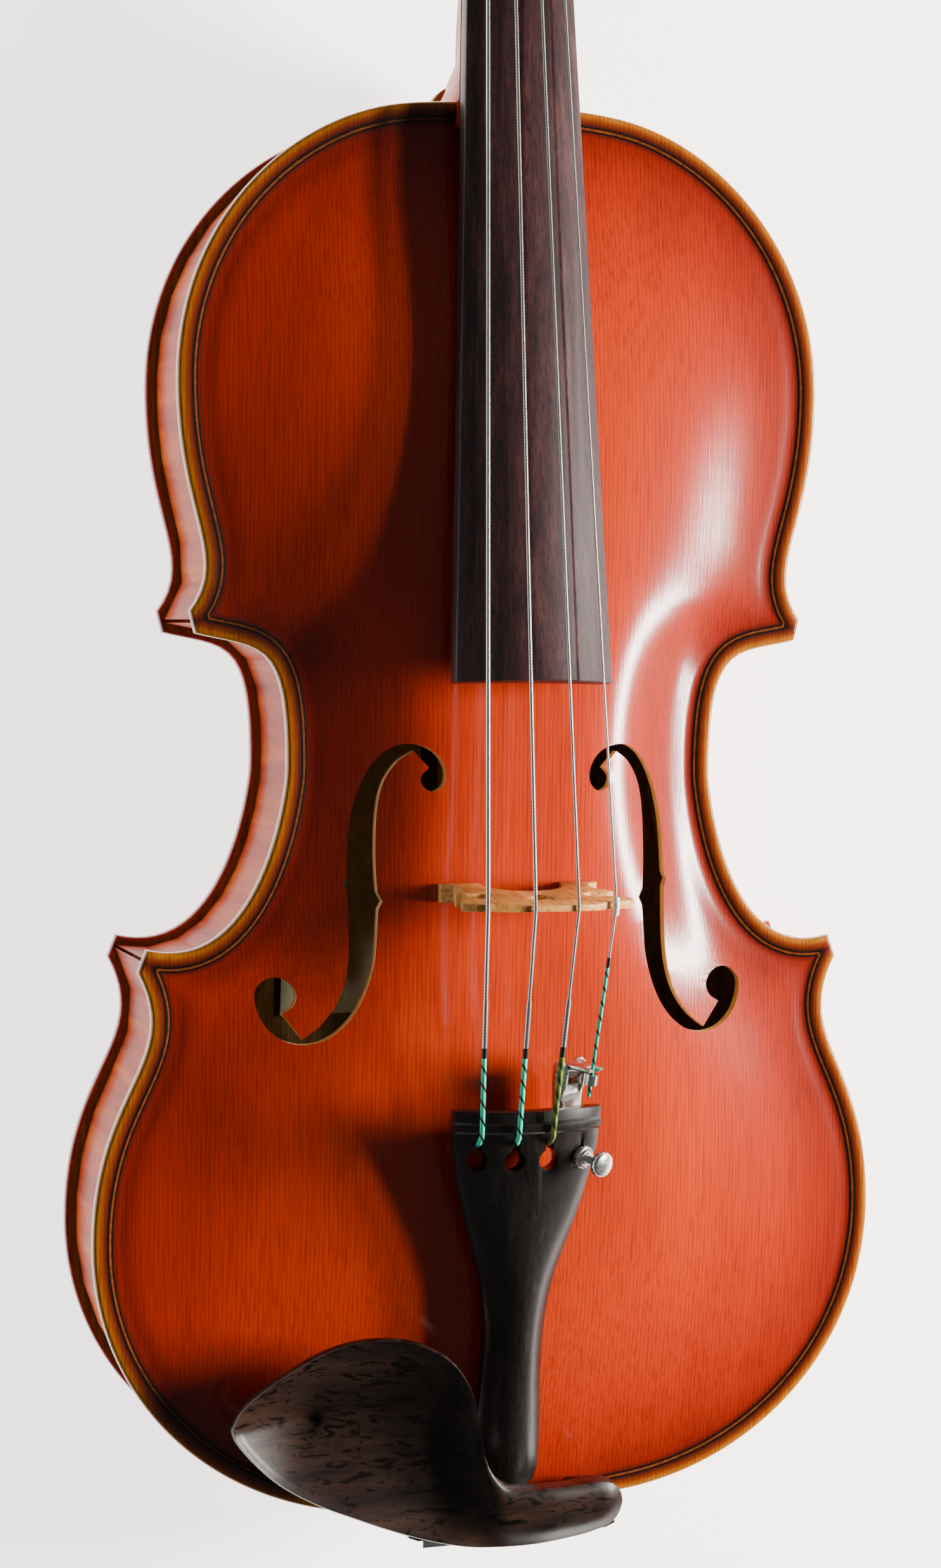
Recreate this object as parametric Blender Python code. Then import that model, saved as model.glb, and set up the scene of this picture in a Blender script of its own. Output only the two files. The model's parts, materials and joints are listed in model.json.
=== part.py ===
"""A 16 1/2 inch viola, built from the separate pieces that a maker glues and fits together.

Sizes are millimetres in the instrument's own frame: x towards the treble side, y from the lower end of the
body towards the scroll, z out of the belly, with z = 0 where the ribs meet the back. The instrument lies on
its back, so the frame is lifted and centred at the end by one empty that carries everything.
"""
import math

import bmesh
import bpy
import numpy as np
from mathutils import Matrix, Vector

for old in list(bpy.data.objects):
    bpy.data.objects.remove(old, do_unlink=True)

MM = 0.001

# Fits between pieces
SEAT = 0.3
RUNNING = 0.25
INNER_SEAT = 0.95
LINING_SEAT = 0.6

# Body outline, half widths from the centre joint
BODY_LENGTH = 418.5
UPPER_BOUT = 98.9
UPPER_BOUT_Y = 336.5
WAIST = 65.8
WAIST_Y = 223.9
LOWER_BOUT = 121.6
LOWER_BOUT_Y = 88.8
UPPER_CORNER = ((94.9, 269.6), (93.2, 263.2))
LOWER_CORNER = ((106.6, 173.0), (109.1, 166.5))

# Plates
RIB_HEIGHT = 39.0
EDGE = 4.2
EDGE_ROUND = 1.1
BELLY_ARCH = 18.1
BACK_ARCH = 17.0
PLATE_THICKNESS = 3.0
FLUTE_DEPTH = 0.6
FLUTE_INSET = 7.0
GLUE_MARGIN = 8.5
SPINE_LOW = 120.0
SPINE_HIGH = 300.0
SPINE_DROP = 1.5
BUTTON_RADIUS = 12.5
BUTTON_THICKNESS = 4.0

# Ribs, linings and blocks
OVERHANG = 3.0
RIB_THICKNESS = 1.2
LINING_THICKNESS = 2.0
LINING_HEIGHT = 8.0
LINING_POINTS = (16, 16, 18)
NECK_BLOCK_WIDTH = 58.0
NECK_BLOCK_DEPTH = 19.0
END_BLOCK_WIDTH = 46.0
END_BLOCK_DEPTH = 16.0
CORNER_BLOCK_REACH = 24.0

# Bass bar, sound post and label
BAR_THICKNESS = 5.5
BAR_DEPTH = 12.0
BAR_X = -17.0
BAR_LOW_Y = 62.0
BAR_HIGH_Y = 352.0
POST_RADIUS = 3.15
POST_X = 20.0
POST_BEHIND_BRIDGE = 3.0
LABEL_X = -31.0
LABEL_WIDTH = 46.0
LABEL_LENGTH = 84.0
LABEL_Y = 188.0
LABEL_THICKNESS = 0.25

# Neck and fingerboard; the neck falls back by NECK_ANGLE
NECK_STOP = 150.5
NECK_ANGLE = 5.8
NUT_Y = BODY_LENGTH + NECK_STOP
NUT_Z = 36.6
BOARD_LENGTH = 320.3
BOARD_NUT_HALF = 12.0
BOARD_END_HALF = 23.8
BOARD_RADIUS = 42.0
BOARD_EDGE = 5.0
BOARD_HOLLOW = 3.0
NECK_DEPTH_NUT = 13.9
NECK_DEPTH_HEEL = 14.2
ROOT_DEPTH = 8.0
NUT_WIDTH = 6.0
NUT_RISE = 1.2
STRING_OVER_BOARD = 0.5

# Pegbox and scroll
PEGBOX_START = NUT_Y + 6.9
PEGBOX_HALF = 14.5
PEGBOX_END_HALF = 10.0
PEGBOX_LENGTH = 65.0
PEGBOX_FRONT_Z = 33.6
PEGBOX_DEPTH = 20.4
PEGBOX_FALL = 0.372
CHEEK = 4.9
FLOOR = 5.4
SCROLL_Y = NUT_Y + 93.0
SCROLL_RADIUS = 25.5
EYE_RADIUS = 5.0
SCROLL_TURNS = 2.5
SCROLL_STEPS = 16
SCROLL_START = -112.5
SCROLL_NECK_HALF = 7.0
EYE_HALF = 22.0
BAND_FLUTE = 0.8

# Pegs
PEG_FIRST = 10.5
PEG_SPACING = 13.6
PEG_DROP = 7.8
PEG_RADIUS = 3.8
PEG_TAPER = 0.45
PEG_COLLAR = 5.6
PEG_HEAD_HALF = 10.0

# Strings: name, half diameter, place at the nut, place at the bridge, height at the bridge, peg number
STRINGS = (
    ("c", 0.65, -8.25, -19.6, 87.4, 0),
    ("g", 0.55, -2.75, -6.5, 90.4, 2),
    ("d", 0.45, 2.75, 6.5, 90.2, 3),
    ("a", 0.35, 8.25, 19.2, 86.6, 1),
)
WINDING_LOOPS = 2
WINDING_GAP = 0.5
LOOP_POINTS = 24
SILK_RADIUS = 0.8

# Bridge
BRIDGE_Y = 186.5
BRIDGE_FOOT_HALF = 24.3
BRIDGE_FOOT_INNER = 12.5
BRIDGE_BASE = 5.5
BRIDGE_TOP = 1.8
BRIDGE_SHOULDER = 26.4

# Tailpiece
TAIL_LOW_Y = 12.0
TAIL_HIGH_Y = 127.5
TAIL_TOP_Z = 56.2
TAIL_SLOPE = 0.145
TAIL_CROWN = 6.0
TAIL_SIDE = 3.5
TAIL_SHELL = 5.0
FRET_Y = 122.7
FRET_RISE = 1.1
KEYHOLE_Y = 113.0
KEYHOLE_RADIUS = 3.1
KEYHOLE_SLOT = 2.3
KEYHOLE_X = (-15.6, -5.2, 5.2)
SLIT_WIDTH = 1.2

# Saddle, tail gut and end button
SADDLE_HALF = 17.0
SADDLE_DEPTH = 8.0
SADDLE_TOP = 46.5
GUT_RADIUS = 1.0
GUT_X = 4.3
BUTTON_Z = RIB_HEIGHT / 2
BUTTON_STEM = 4.0
BUTTON_NECK = 4.9
BUTTON_HEAD = 8.5
BUTTON_PROUD = 14.0

# Fine tuner, in a frame on the tailpiece's top face
TUNER_X = 16.2
TUNER_PLATE_HALF = 4.2
TUNER_PLATE_Z = -5.7
TUNER_PLATE_THICKNESS = 1.2
TUNER_EAR = 1.0
TUNER_TUBE = 2.4
TUNER_SCREW = 1.3
TUNER_RING = 3.5
TUNER_HEAD = 3.8
TUNER_HEAD_Z = 7.6
TUNER_HEAD_THICKNESS = 2.3
PIVOT_Y = 24.6
PIVOT_Z = -7.0
PIVOT_RADIUS = 0.9
LEVER_HALF = 2.9
LEVER_ARM_Z = -8.6
HOOK_LOCAL = (-0.2, 26.6, 2.5)
BALL_RADIUS = 1.9
BALL_LENGTH = 3.2
BALL_DROP = 6.7
SLEEVE_RADIUS = 0.95
SLEEVE_LENGTH = 5.0

# Chin rest and its clamp
REST_PLATE = 6.5
REST_RIM = 2.6
REST_CUP = 6.5
REST_BAR = 10.5
REST_LEGS = ((-31.5, -18.4), (18.4, 31.5))
CORK = 2.1
ROD_X = 19.0
ROD_Y = -4.9
ROD_RADIUS = 1.2
BARREL_RADIUS = 2.3
BARREL_LOW = 9.5
BARREL_HIGH = 29.5
CLAMP_METAL = 1.4

# Resting frame
MIDDLE_Y = (SCROLL_Y + 22.1 - BUTTON_PROUD) / 2

instrument = bpy.data.objects.new("instrument", None)
instrument.location = (0.0, -MIDDLE_Y * MM, BACK_ARCH * MM)
bpy.context.scene.collection.objects.link(instrument)


def finish(name, colour, roughness, metallic=0.0):
    """One Principled material."""
    material = bpy.data.materials.new(name)
    material.use_nodes = True
    shader = material.node_tree.nodes["Principled BSDF"]
    shader.inputs["Base Color"].default_value = (*colour, 1.0)
    shader.inputs["Roughness"].default_value = roughness
    shader.inputs["Metallic"].default_value = metallic
    return material


SPRUCE = finish("varnished_spruce", (0.45, 0.07, 0.012), 0.3)
MAPLE = finish("varnished_maple", (0.40, 0.06, 0.012), 0.3)
BARE_WOOD = finish("bare_wood", (0.55, 0.36, 0.18), 0.7)
EBONY = finish("ebony", (0.018, 0.013, 0.011), 0.4)
BRIDGE_MAPLE = finish("bridge_maple", (0.45, 0.26, 0.11), 0.5)
NICKEL = finish("nickel", (0.62, 0.60, 0.56), 0.25, 1.0)
STEEL = finish("steel_winding", (0.55, 0.55, 0.56), 0.3, 1.0)
CORK_FINISH = finish("cork", (0.45, 0.27, 0.13), 0.9)
PAPER = finish("paper", (0.42, 0.38, 0.26), 0.9)
PLASTIC = finish("white_plastic", (0.8, 0.8, 0.78), 0.5)
NYLON = finish("black_cord", (0.02, 0.02, 0.02), 0.5)


def place(name, data, material, origin=(0.0, 0.0, 0.0)):
    """Links an object that hangs from the instrument's empty."""
    item = bpy.data.objects.new(name, data)
    item.location = Vector(origin) * MM
    item.parent = instrument
    bpy.context.scene.collection.objects.link(item)
    if material:
        data.materials.append(material)
    return item


def add(name, bm, material=None, origin=(0.0, 0.0, 0.0)):
    """Turns a bmesh in millimetres into an object whose origin is given in millimetres."""
    bmesh.ops.recalc_face_normals(bm, faces=bm.faces)
    bmesh.ops.translate(bm, verts=bm.verts, vec=-Vector(origin))
    bmesh.ops.scale(bm, verts=bm.verts, vec=(MM, MM, MM))
    mesh = bpy.data.meshes.new(name)
    bm.to_mesh(mesh)
    bm.free()
    mesh.shade_smooth()
    mesh.set_sharp_from_angle(angle=math.radians(35.0))
    item = place(name, mesh, material, origin)
    if material is None:
        item.hide_render = True
        item.display_type = "WIRE"
    return item


def cut(target, tool, operation="DIFFERENCE"):
    """Cuts a piece with a guide, or joins the guide to it."""
    modifier = target.modifiers.new(tool.name, "BOOLEAN")
    modifier.operation = operation
    modifier.solver = "EXACT"
    modifier.object = tool


def loft(rings, bm=None, paired=False):
    """A closed solid through rings of equal count; its ends are single faces, or strips between paired points."""
    bm = bm or bmesh.new()
    loops = [[bm.verts.new(point) for point in ring] for ring in rings]
    count = len(loops[0])
    for near, far in zip(loops, loops[1:]):
        for i in range(count):
            j = (i + 1) % count
            bm.faces.new((near[i], near[j], far[j], far[i]))
    for loop in (loops[0], loops[-1]):
        if not paired:
            bm.faces.new(loop)
            continue
        for i in range(count // 2):
            corners = [loop[i], loop[i + 1], loop[(count - i - 1) % count], loop[(count - i) % count]]
            bm.faces.new(list(dict.fromkeys(corners)))
    return bm


def prism(outline, low, high, bm=None):
    """An outline in x and y, extruded in z."""
    return loft([[(x, y, z) for x, y in outline] for z in (low, high)], bm)


def box(low, high, bm=None):
    """A box between two corners."""
    outline = [(low[0], low[1]), (high[0], low[1]), (high[0], high[1]), (low[0], high[1])]
    return prism(outline, low[2], high[2], bm)


def turned(profile, axis, base, steps=20, bm=None, squash=None):
    """A solid turned round an axis through base; profile holds (distance along the axis, radius)."""
    direction = Vector(axis).normalized()
    across = direction.orthogonal().normalized()
    if squash:
        across = Vector(squash)
    upright = direction.cross(across)
    rings = []
    for entry in profile:
        along, wide = entry[0], entry[1]
        flat = entry[2] if len(entry) > 2 else wide
        ring = []
        for k in range(steps):
            angle = 2 * math.pi * k / steps
            offset = across * (wide * math.cos(angle)) + upright * (flat * math.sin(angle))
            ring.append(Vector(base) + direction * along + offset)
        rings.append(ring)
    return loft(rings, bm)


def sleeve(outer, inner, low, high, axis, base, steps=16, bm=None):
    """A tube with a bore, as one closed solid."""
    bm = bm or bmesh.new()
    direction = Vector(axis).normalized()
    across = direction.orthogonal().normalized()
    upright = direction.cross(across)
    loops = []
    for along, radius in ((low, outer), (high, outer), (high, inner), (low, inner)):
        loop = []
        for k in range(steps):
            angle = 2 * math.pi * k / steps
            offset = (across * math.cos(angle) + upright * math.sin(angle)) * radius
            loop.append(bm.verts.new(Vector(base) + direction * along + offset))
        loops.append(loop)
    for n in range(4):
        near, far = loops[n], loops[(n + 1) % 4]
        for i in range(steps):
            j = (i + 1) % steps
            bm.faces.new((near[i], near[j], far[j], far[i]))
    return bm


def bent_sleeve(centres, outer, inner, steps=12):
    """A tube with a bore that follows a bend."""
    bm = bmesh.new()
    side = Vector((1.0, 0.0, 0.0))
    loops = []
    for radius, order in ((outer, range(len(centres))), (inner, range(len(centres) - 1, -1, -1))):
        for n in order:
            along = (centres[min(n + 1, len(centres) - 1)] - centres[max(n - 1, 0)]).normalized()
            upright = along.cross(side).normalized()
            across = upright.cross(along)
            loop = []
            for k in range(steps):
                angle = 2 * math.pi * k / steps
                loop.append(bm.verts.new(centres[n] + (across * math.cos(angle) + upright * math.sin(angle)) * radius))
            loops.append(loop)
    for n, near in enumerate(loops):
        far = loops[(n + 1) % len(loops)]
        for i in range(steps):
            j = (i + 1) % steps
            bm.faces.new((near[i], near[j], far[j], far[i]))
    return bm


def cord(name, points, material, radius, widths=None):
    """A round cord along points, as one tube with closed ends."""
    curve = bpy.data.curves.new(name, "CURVE")
    curve.dimensions = "3D"
    curve.bevel_depth = radius * MM
    curve.bevel_resolution = 1
    curve.use_fill_caps = True
    spline = curve.splines.new("POLY")
    spline.points.add(len(points) - 1)
    for i, point in enumerate(points):
        spline.points[i].co = (*(Vector(point) * MM), 1.0)
        spline.points[i].radius = widths[i] if widths else 1.0
    return place(name, curve, material)


# Outline and arching

def bezier(start, first, second, end, steps):
    """Points of one Bezier span, without its end."""
    t = np.linspace(0.0, 1.0, steps + 1)[:-1, None]
    p = np.array([start, first, second, end], dtype=float)
    return (1 - t) ** 3 * p[0] + 3 * (1 - t) ** 2 * t * p[1] + 3 * (1 - t) * t ** 2 * p[2] + t ** 3 * p[3]


def bouts(density=1.0):
    """The treble half of the outline as three bouts: upper, centre and lower."""
    def count(steps):
        return max(1, round(steps * density))

    top = (0.0, BODY_LENGTH)
    shoulder = (38.2, BODY_LENGTH - 2.8)
    wide = (UPPER_BOUT, UPPER_BOUT_Y)
    upper = [
        bezier(top, (13.4, BODY_LENGTH), (29.0, BODY_LENGTH - 0.6), shoulder, count(2)),
        bezier(shoulder, (69.0, BODY_LENGTH - 9.9), (UPPER_BOUT, UPPER_BOUT_Y + 42.1), wide, count(6)),
        bezier(wide, (UPPER_BOUT, UPPER_BOUT_Y - 39.8), (82.8, 285.6), UPPER_CORNER[0], count(5)),
        np.array([UPPER_CORNER[0]]),
    ]
    waist = (WAIST, WAIST_Y)
    centre = [
        bezier(UPPER_CORNER[1], (74.1, 258.8), (WAIST, WAIST_Y + 39.4), waist, count(5)),
        bezier(waist, (WAIST, WAIST_Y - 5.2), (72.5, 164.1), LOWER_CORNER[0], count(6)),
        np.array([LOWER_CORNER[0]]),
    ]
    broad = (LOWER_BOUT, LOWER_BOUT_Y)
    heel = (41.7, 5.0)
    lower = [
        bezier(LOWER_CORNER[1], (95.1, 140.2), (LOWER_BOUT, LOWER_BOUT_Y + 45.5), broad, count(5)),
        bezier(broad, (LOWER_BOUT, LOWER_BOUT_Y - 43.6), (87.8, 10.3), heel, count(6)),
        bezier(heel, (27.9, 3.4), (14.6, 0.0), (0.0, 0.0), count(2)),
        np.array([(0.0, 0.0)]),
    ]
    return [np.vstack(upper), np.vstack(centre), np.vstack(lower)]


def resample(line, spacing=None, count=None):
    """A polyline with even steps along its length."""
    line = np.asarray(line, dtype=float)
    run = np.concatenate([[0.0], np.cumsum(np.linalg.norm(np.diff(line, axis=0), axis=1))])
    count = count or max(2, int(run[-1] / spacing) + 1)
    marks = np.linspace(0.0, run[-1], count)
    return np.stack([np.interp(marks, run, line[:, k]) for k in range(line.shape[1])], axis=1)


HALF = np.vstack(bouts())
FINE = resample(np.vstack(bouts(6.0)), spacing=1.6)
FINE_LOOP = np.vstack([FINE, (FINE * [-1.0, 1.0])[::-1]])
FINE_STEP = np.linalg.norm(np.roll(FINE_LOOP, -1, axis=0) - FINE_LOOP, axis=1)


def edge_distance(points):
    """A smooth measure of how far points lie inside the outline."""
    total = np.zeros(len(points))
    for centre, step in zip(FINE_LOOP, FINE_STEP):
        total += step / (((points - centre) ** 2).sum(axis=1) + 0.5) ** 2
    return (2.0 / math.pi * total) ** (-1.0 / 3.0)


def arch(points, crown):
    """Height of a plate's outer face over its glue face."""
    points = np.atleast_2d(np.asarray(points, dtype=float))
    inside = edge_distance(points)
    near = np.clip(points[:, 1], SPINE_LOW, SPINE_HIGH)
    from_spine = np.hypot(points[:, 0], points[:, 1] - near)
    share = from_spine / (from_spine + np.maximum(inside - FLUTE_INSET + 1.0, 0.0) + 1e-9)
    middle = (SPINE_LOW + SPINE_HIGH) / 2
    ridge = crown - SPINE_DROP * ((near - middle) / (SPINE_HIGH - middle)) ** 2
    flute = FLUTE_DEPTH * np.exp(-((inside - FLUTE_INSET) / 3.0) ** 2)
    return EDGE - flute + (ridge - EDGE) * np.cos(math.pi / 2 * share ** 1.7) ** 2


def hollow(points, crown):
    """Height of a plate's inner face over its glue face, flat over the blocks and linings."""
    points = np.atleast_2d(np.asarray(points, dtype=float))
    depth = np.maximum(arch(points, crown) - PLATE_THICKNESS, 0.0)
    clear = np.clip((edge_distance(points) - GLUE_MARGIN) / 6.0, 0.0, 1.0)
    return depth * clear * clear * (3.0 - 2.0 * clear)


def belly(x, y):
    """The belly's outer height at one place."""
    return RIB_HEIGHT + float(arch([(x, y)], BELLY_ARCH)[0])


def belly_inside(x, y):
    """The belly's inner height at one place."""
    return RIB_HEIGHT + float(hollow([(x, y)], BELLY_ARCH)[0])


def back_inside(x, y):
    """The back's inner height at one place, below zero."""
    return -float(hollow([(x, y)], BACK_ARCH)[0])


def plate(name, crown, base, up, material):
    """A carved plate: rings from the rounded edge to the crown, outside and inside."""
    right = HALF
    left = (HALF[1:-1] * [-1.0, 1.0])[::-1]
    rim = np.vstack([right, left])
    count = len(rim)
    spine = np.stack([np.zeros(count), np.clip(rim[:, 1], SPINE_LOW, SPINE_HIGH)], axis=1)
    reach = np.linalg.norm(spine - rim, axis=1)[:, None]

    def ring(inset, share=0.0):
        distance = inset + share * (reach - inset)
        return rim + (spine - rim) * distance / reach

    outside = [ring(FLUTE_INSET), ring(13.0), ring(13.0, 0.2), ring(13.0, 0.42), ring(13.0, 0.64), ring(13.0, 0.88)]
    inside = [ring(GLUE_MARGIN), ring(15.0), ring(15.0, 0.25), ring(15.0, 0.55), ring(15.0, 0.85)]
    levels = [(points, hollow(points, crown)) for points in reversed(inside)]
    levels.append((ring(EDGE_ROUND), np.zeros(count)))
    levels.append((ring(0.0), np.full(count, EDGE_ROUND)))
    levels.append((ring(0.0), np.full(count, EDGE - EDGE_ROUND)))
    levels.append((ring(EDGE_ROUND), np.full(count, EDGE)))
    levels += [(points, arch(points, crown)) for points in outside]
    rings = []
    for points, heights in levels:
        rings.append([(x, y, base + up * z) for (x, y), z in zip(points, heights)])
    return add(name, loft(rings, paired=True), material)


# Cutters that several pieces share

def root_half(y):
    """Half width of the neck's top face at y."""
    return board_half((NUT_Y - y) / math.cos(math.radians(NECK_ANGLE)))


def board_half(along):
    """Half width of the fingerboard at a distance from the nut."""
    return BOARD_NUT_HALF + (BOARD_END_HALF - BOARD_NUT_HALF) * along / BOARD_LENGTH


def neck_frame(x, along, height):
    """A point given along the fingerboard from the nut towards the bridge, and over its edge."""
    angle = math.radians(NECK_ANGLE)
    y = NUT_Y - along * math.cos(angle) + height * math.sin(angle)
    z = NUT_Z + along * math.sin(angle) + height * math.cos(angle)
    return (x, y, z)


def glue_height(y, gap=SEAT):
    """Height of the neck's top face at y."""
    angle = math.radians(NECK_ANGLE)
    return NUT_Z + (NUT_Y - y) * math.tan(angle) - (BOARD_EDGE + gap) / math.cos(angle)


def root_section(y, grow=0.0, rise=0.0, foot=SEAT):
    """The neck root's section in 13 points: wide under the fingerboard, narrow on the button."""
    wide = root_half(y) + grow
    narrow = BUTTON_RADIUS - 1.5 + grow
    top = glue_height(y)
    right = [(wide, y, top + rise)]
    for share in (0.0, 0.25, 0.5, 0.75, 1.0):
        right.append((wide + (narrow - wide) * share, y, top - 2.0 + (foot - top + 2.0) * share))
    left = [(-x, y, z) for x, y, z in reversed(right)]
    return right + [(0.0, y, foot)] + left


ROOT_Y = BODY_LENGTH - ROOT_DEPTH
mortise = add("mortise_guide", loft([
    root_section(ROOT_Y - SEAT, SEAT, 25.0, -SEAT),
    root_section(BODY_LENGTH + 30.0, SEAT, 25.0, -SEAT),
]))

# Body

F_HOLE = (
    (50.4, 191.6), (49.3, 193.8), (49.1, 200.0), (48.6, 207.5), (47.2, 215.0), (44.6, 222.3), (41.0, 228.0),
    (37.0, 231.2), (32.8, 232.2), (28.0, 231.3), (24.4, 228.8), (22.3, 224.8), (22.5, 220.8), (25.3, 218.4),
    (28.2, 219.5), (29.3, 222.0), (28.4, 223.9), (26.9, 225.3), (31.3, 230.1), (35.6, 227.1), (39.2, 221.5),
    (40.9, 214.5), (41.5, 205.0), (41.5, 196.0), (41.1, 189.2), (39.7, 186.6), (40.9, 184.2), (41.3, 178.0),
    (41.9, 170.2), (43.6, 163.2), (46.8, 155.8), (51.3, 150.0), (57.0, 146.3), (63.2, 145.4), (69.0, 147.2),
    (73.6, 151.8), (75.8, 158.5), (74.4, 162.6), (70.5, 164.6), (66.2, 163.4), (63.9, 159.8), (64.9, 156.4),
    (68.1, 154.2), (62.4, 146.9), (57.3, 151.0), (52.7, 157.2), (50.2, 164.2), (49.2, 172.0), (49.1, 181.0),
    (49.3, 189.3),
)

saddle_guide = add("saddle_guide", box(
    (-SADDLE_HALF - SEAT, -5.0, RIB_HEIGHT - 1.0), (SADDLE_HALF + SEAT, SADDLE_DEPTH + SEAT, RIB_HEIGHT + 20.0)))
end_bore = add("end_bore_guide", turned(
    [(-6.0, BUTTON_STEM + SEAT), (END_BLOCK_DEPTH + 10.0, BUTTON_STEM + SEAT)], (0, 1, 0), (0, 0, BUTTON_Z)))

top_plate = plate("top_plate", BELLY_ARCH, RIB_HEIGHT, 1.0, SPRUCE)
for side, word in ((1.0, "treble"), (-1.0, "bass")):
    hole = prism([(side * x, y) for x, y in F_HOLE], RIB_HEIGHT - 10.0, RIB_HEIGHT + 30.0)
    cut(top_plate, add("f_hole_guide_" + word, hole))
cut(top_plate, mortise)
cut(top_plate, saddle_guide)

back_plate = plate("back_plate", BACK_ARCH, 0.0, -1.0, MAPLE)
button_outline = [(BUTTON_RADIUS, BODY_LENGTH - 6.0)]
for k in range(13):
    turn = math.pi * k / 12
    button_outline.append((BUTTON_RADIUS * math.cos(turn), BODY_LENGTH + 1.0 + BUTTON_RADIUS * math.sin(turn)))
button_outline.append((-BUTTON_RADIUS, BODY_LENGTH - 6.0))
cut(back_plate, add("button_guide", prism(button_outline, -BUTTON_THICKNESS, -0.05)), "UNION")


def inset_line(line, distance):
    """A line moved towards the inside of the body, with its ends run on."""
    step = np.gradient(line, axis=0)
    step /= np.linalg.norm(step, axis=1)[:, None]
    moved = line + np.stack([step[:, 1], -step[:, 0]], axis=1) * distance
    return moved


def crossing(first, second):
    """Trims the end of one line and the start of the next where they cross."""
    run_on = first[-1] + (first[-1] - first[-2]) / np.linalg.norm(first[-1] - first[-2]) * 8.0
    run_back = second[0] + (second[0] - second[1]) / np.linalg.norm(second[0] - second[1]) * 8.0
    first = np.vstack([first, run_on])
    second = np.vstack([run_back, second])
    for i in range(len(first) - 1, 0, -1):
        a, b = first[i - 1], first[i]
        for j in range(len(second) - 1):
            c, d = second[j], second[j + 1]
            matrix = np.array([b - a, c - d]).T
            if abs(np.linalg.det(matrix)) < 1e-9:
                continue
            s, t = np.linalg.solve(matrix, c - a)
            if 0.0 <= s <= 1.0 and 0.0 <= t <= 1.0:
                meet = a + s * (b - a)
                return np.vstack([first[:i], meet]), np.vstack([meet, second[j + 1:]])
    return first, second


def shorten(line, start, end):
    """A line with a little taken off each end."""
    line = resample(line, spacing=0.5)
    run = np.concatenate([[0.0], np.cumsum(np.linalg.norm(np.diff(line, axis=0), axis=1))])
    keep = (run >= start) & (run <= run[-1] - end)
    return line[keep]


def rib_lines(distance):
    """The three bouts at one distance inside the outline, trimmed where they meet."""
    upper, centre, lower = [inset_line(bout, distance) for bout in bouts(3.0)]
    upper, centre = crossing(upper, centre)
    centre, lower = crossing(centre, lower)
    return upper, centre, lower


RIB_OUT = rib_lines(OVERHANG)
RIB_IN = rib_lines(OVERHANG + RIB_THICKNESS)
RIB_INSIDE = OVERHANG + RIB_THICKNESS
LINE_OUT = rib_lines(RIB_INSIDE + SEAT)


def strip(outer, inner, low, high, side, bm=None):
    """A bent strip between two lines."""
    rings = []
    for (xo, yo), (xi, yi) in zip(outer, inner):
        rings.append([(side * xo, yo, low), (side * xo, yo, high), (side * xi, yi, high), (side * xi, yi, low)])
    return loft(rings, bm)


MITRE = 0.55
END_GAP = SEAT / 2
RIB_ENDS = ((4.0, MITRE), (MITRE, MITRE), (MITRE, END_GAP))
RIB_POINTS = (18, 16, 20)
for side, hand in ((-1.0, "bass"), (1.0, "treble")):
    for n, bout in enumerate(("upper", "centre", "lower")):
        outer = resample(shorten(RIB_OUT[n], *RIB_ENDS[n]), count=RIB_POINTS[n])
        inner = resample(shorten(RIB_IN[n], *RIB_ENDS[n]), count=RIB_POINTS[n])
        rib = add(f"{bout}_rib_{hand}", strip(outer, inner, SEAT, RIB_HEIGHT - SEAT, side), MAPLE)
        if bout == "upper":
            cut(rib, mortise)
        if bout == "lower":
            cut(rib, end_bore)


def lining_line(distance):
    """One side's line for the linings, from the neck block round the corners to the end block."""
    upper, centre, lower = rib_lines(distance)
    upper = resample(shorten(upper, NECK_BLOCK_WIDTH / 2 + 1.0, 0.0), count=LINING_POINTS[0])
    centre = resample(centre, count=LINING_POINTS[1])
    lower = resample(shorten(lower, 0.0, END_BLOCK_WIDTH / 2 + 1.0), count=LINING_POINTS[2])
    return np.vstack([upper, centre[1:-1], lower])


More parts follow.
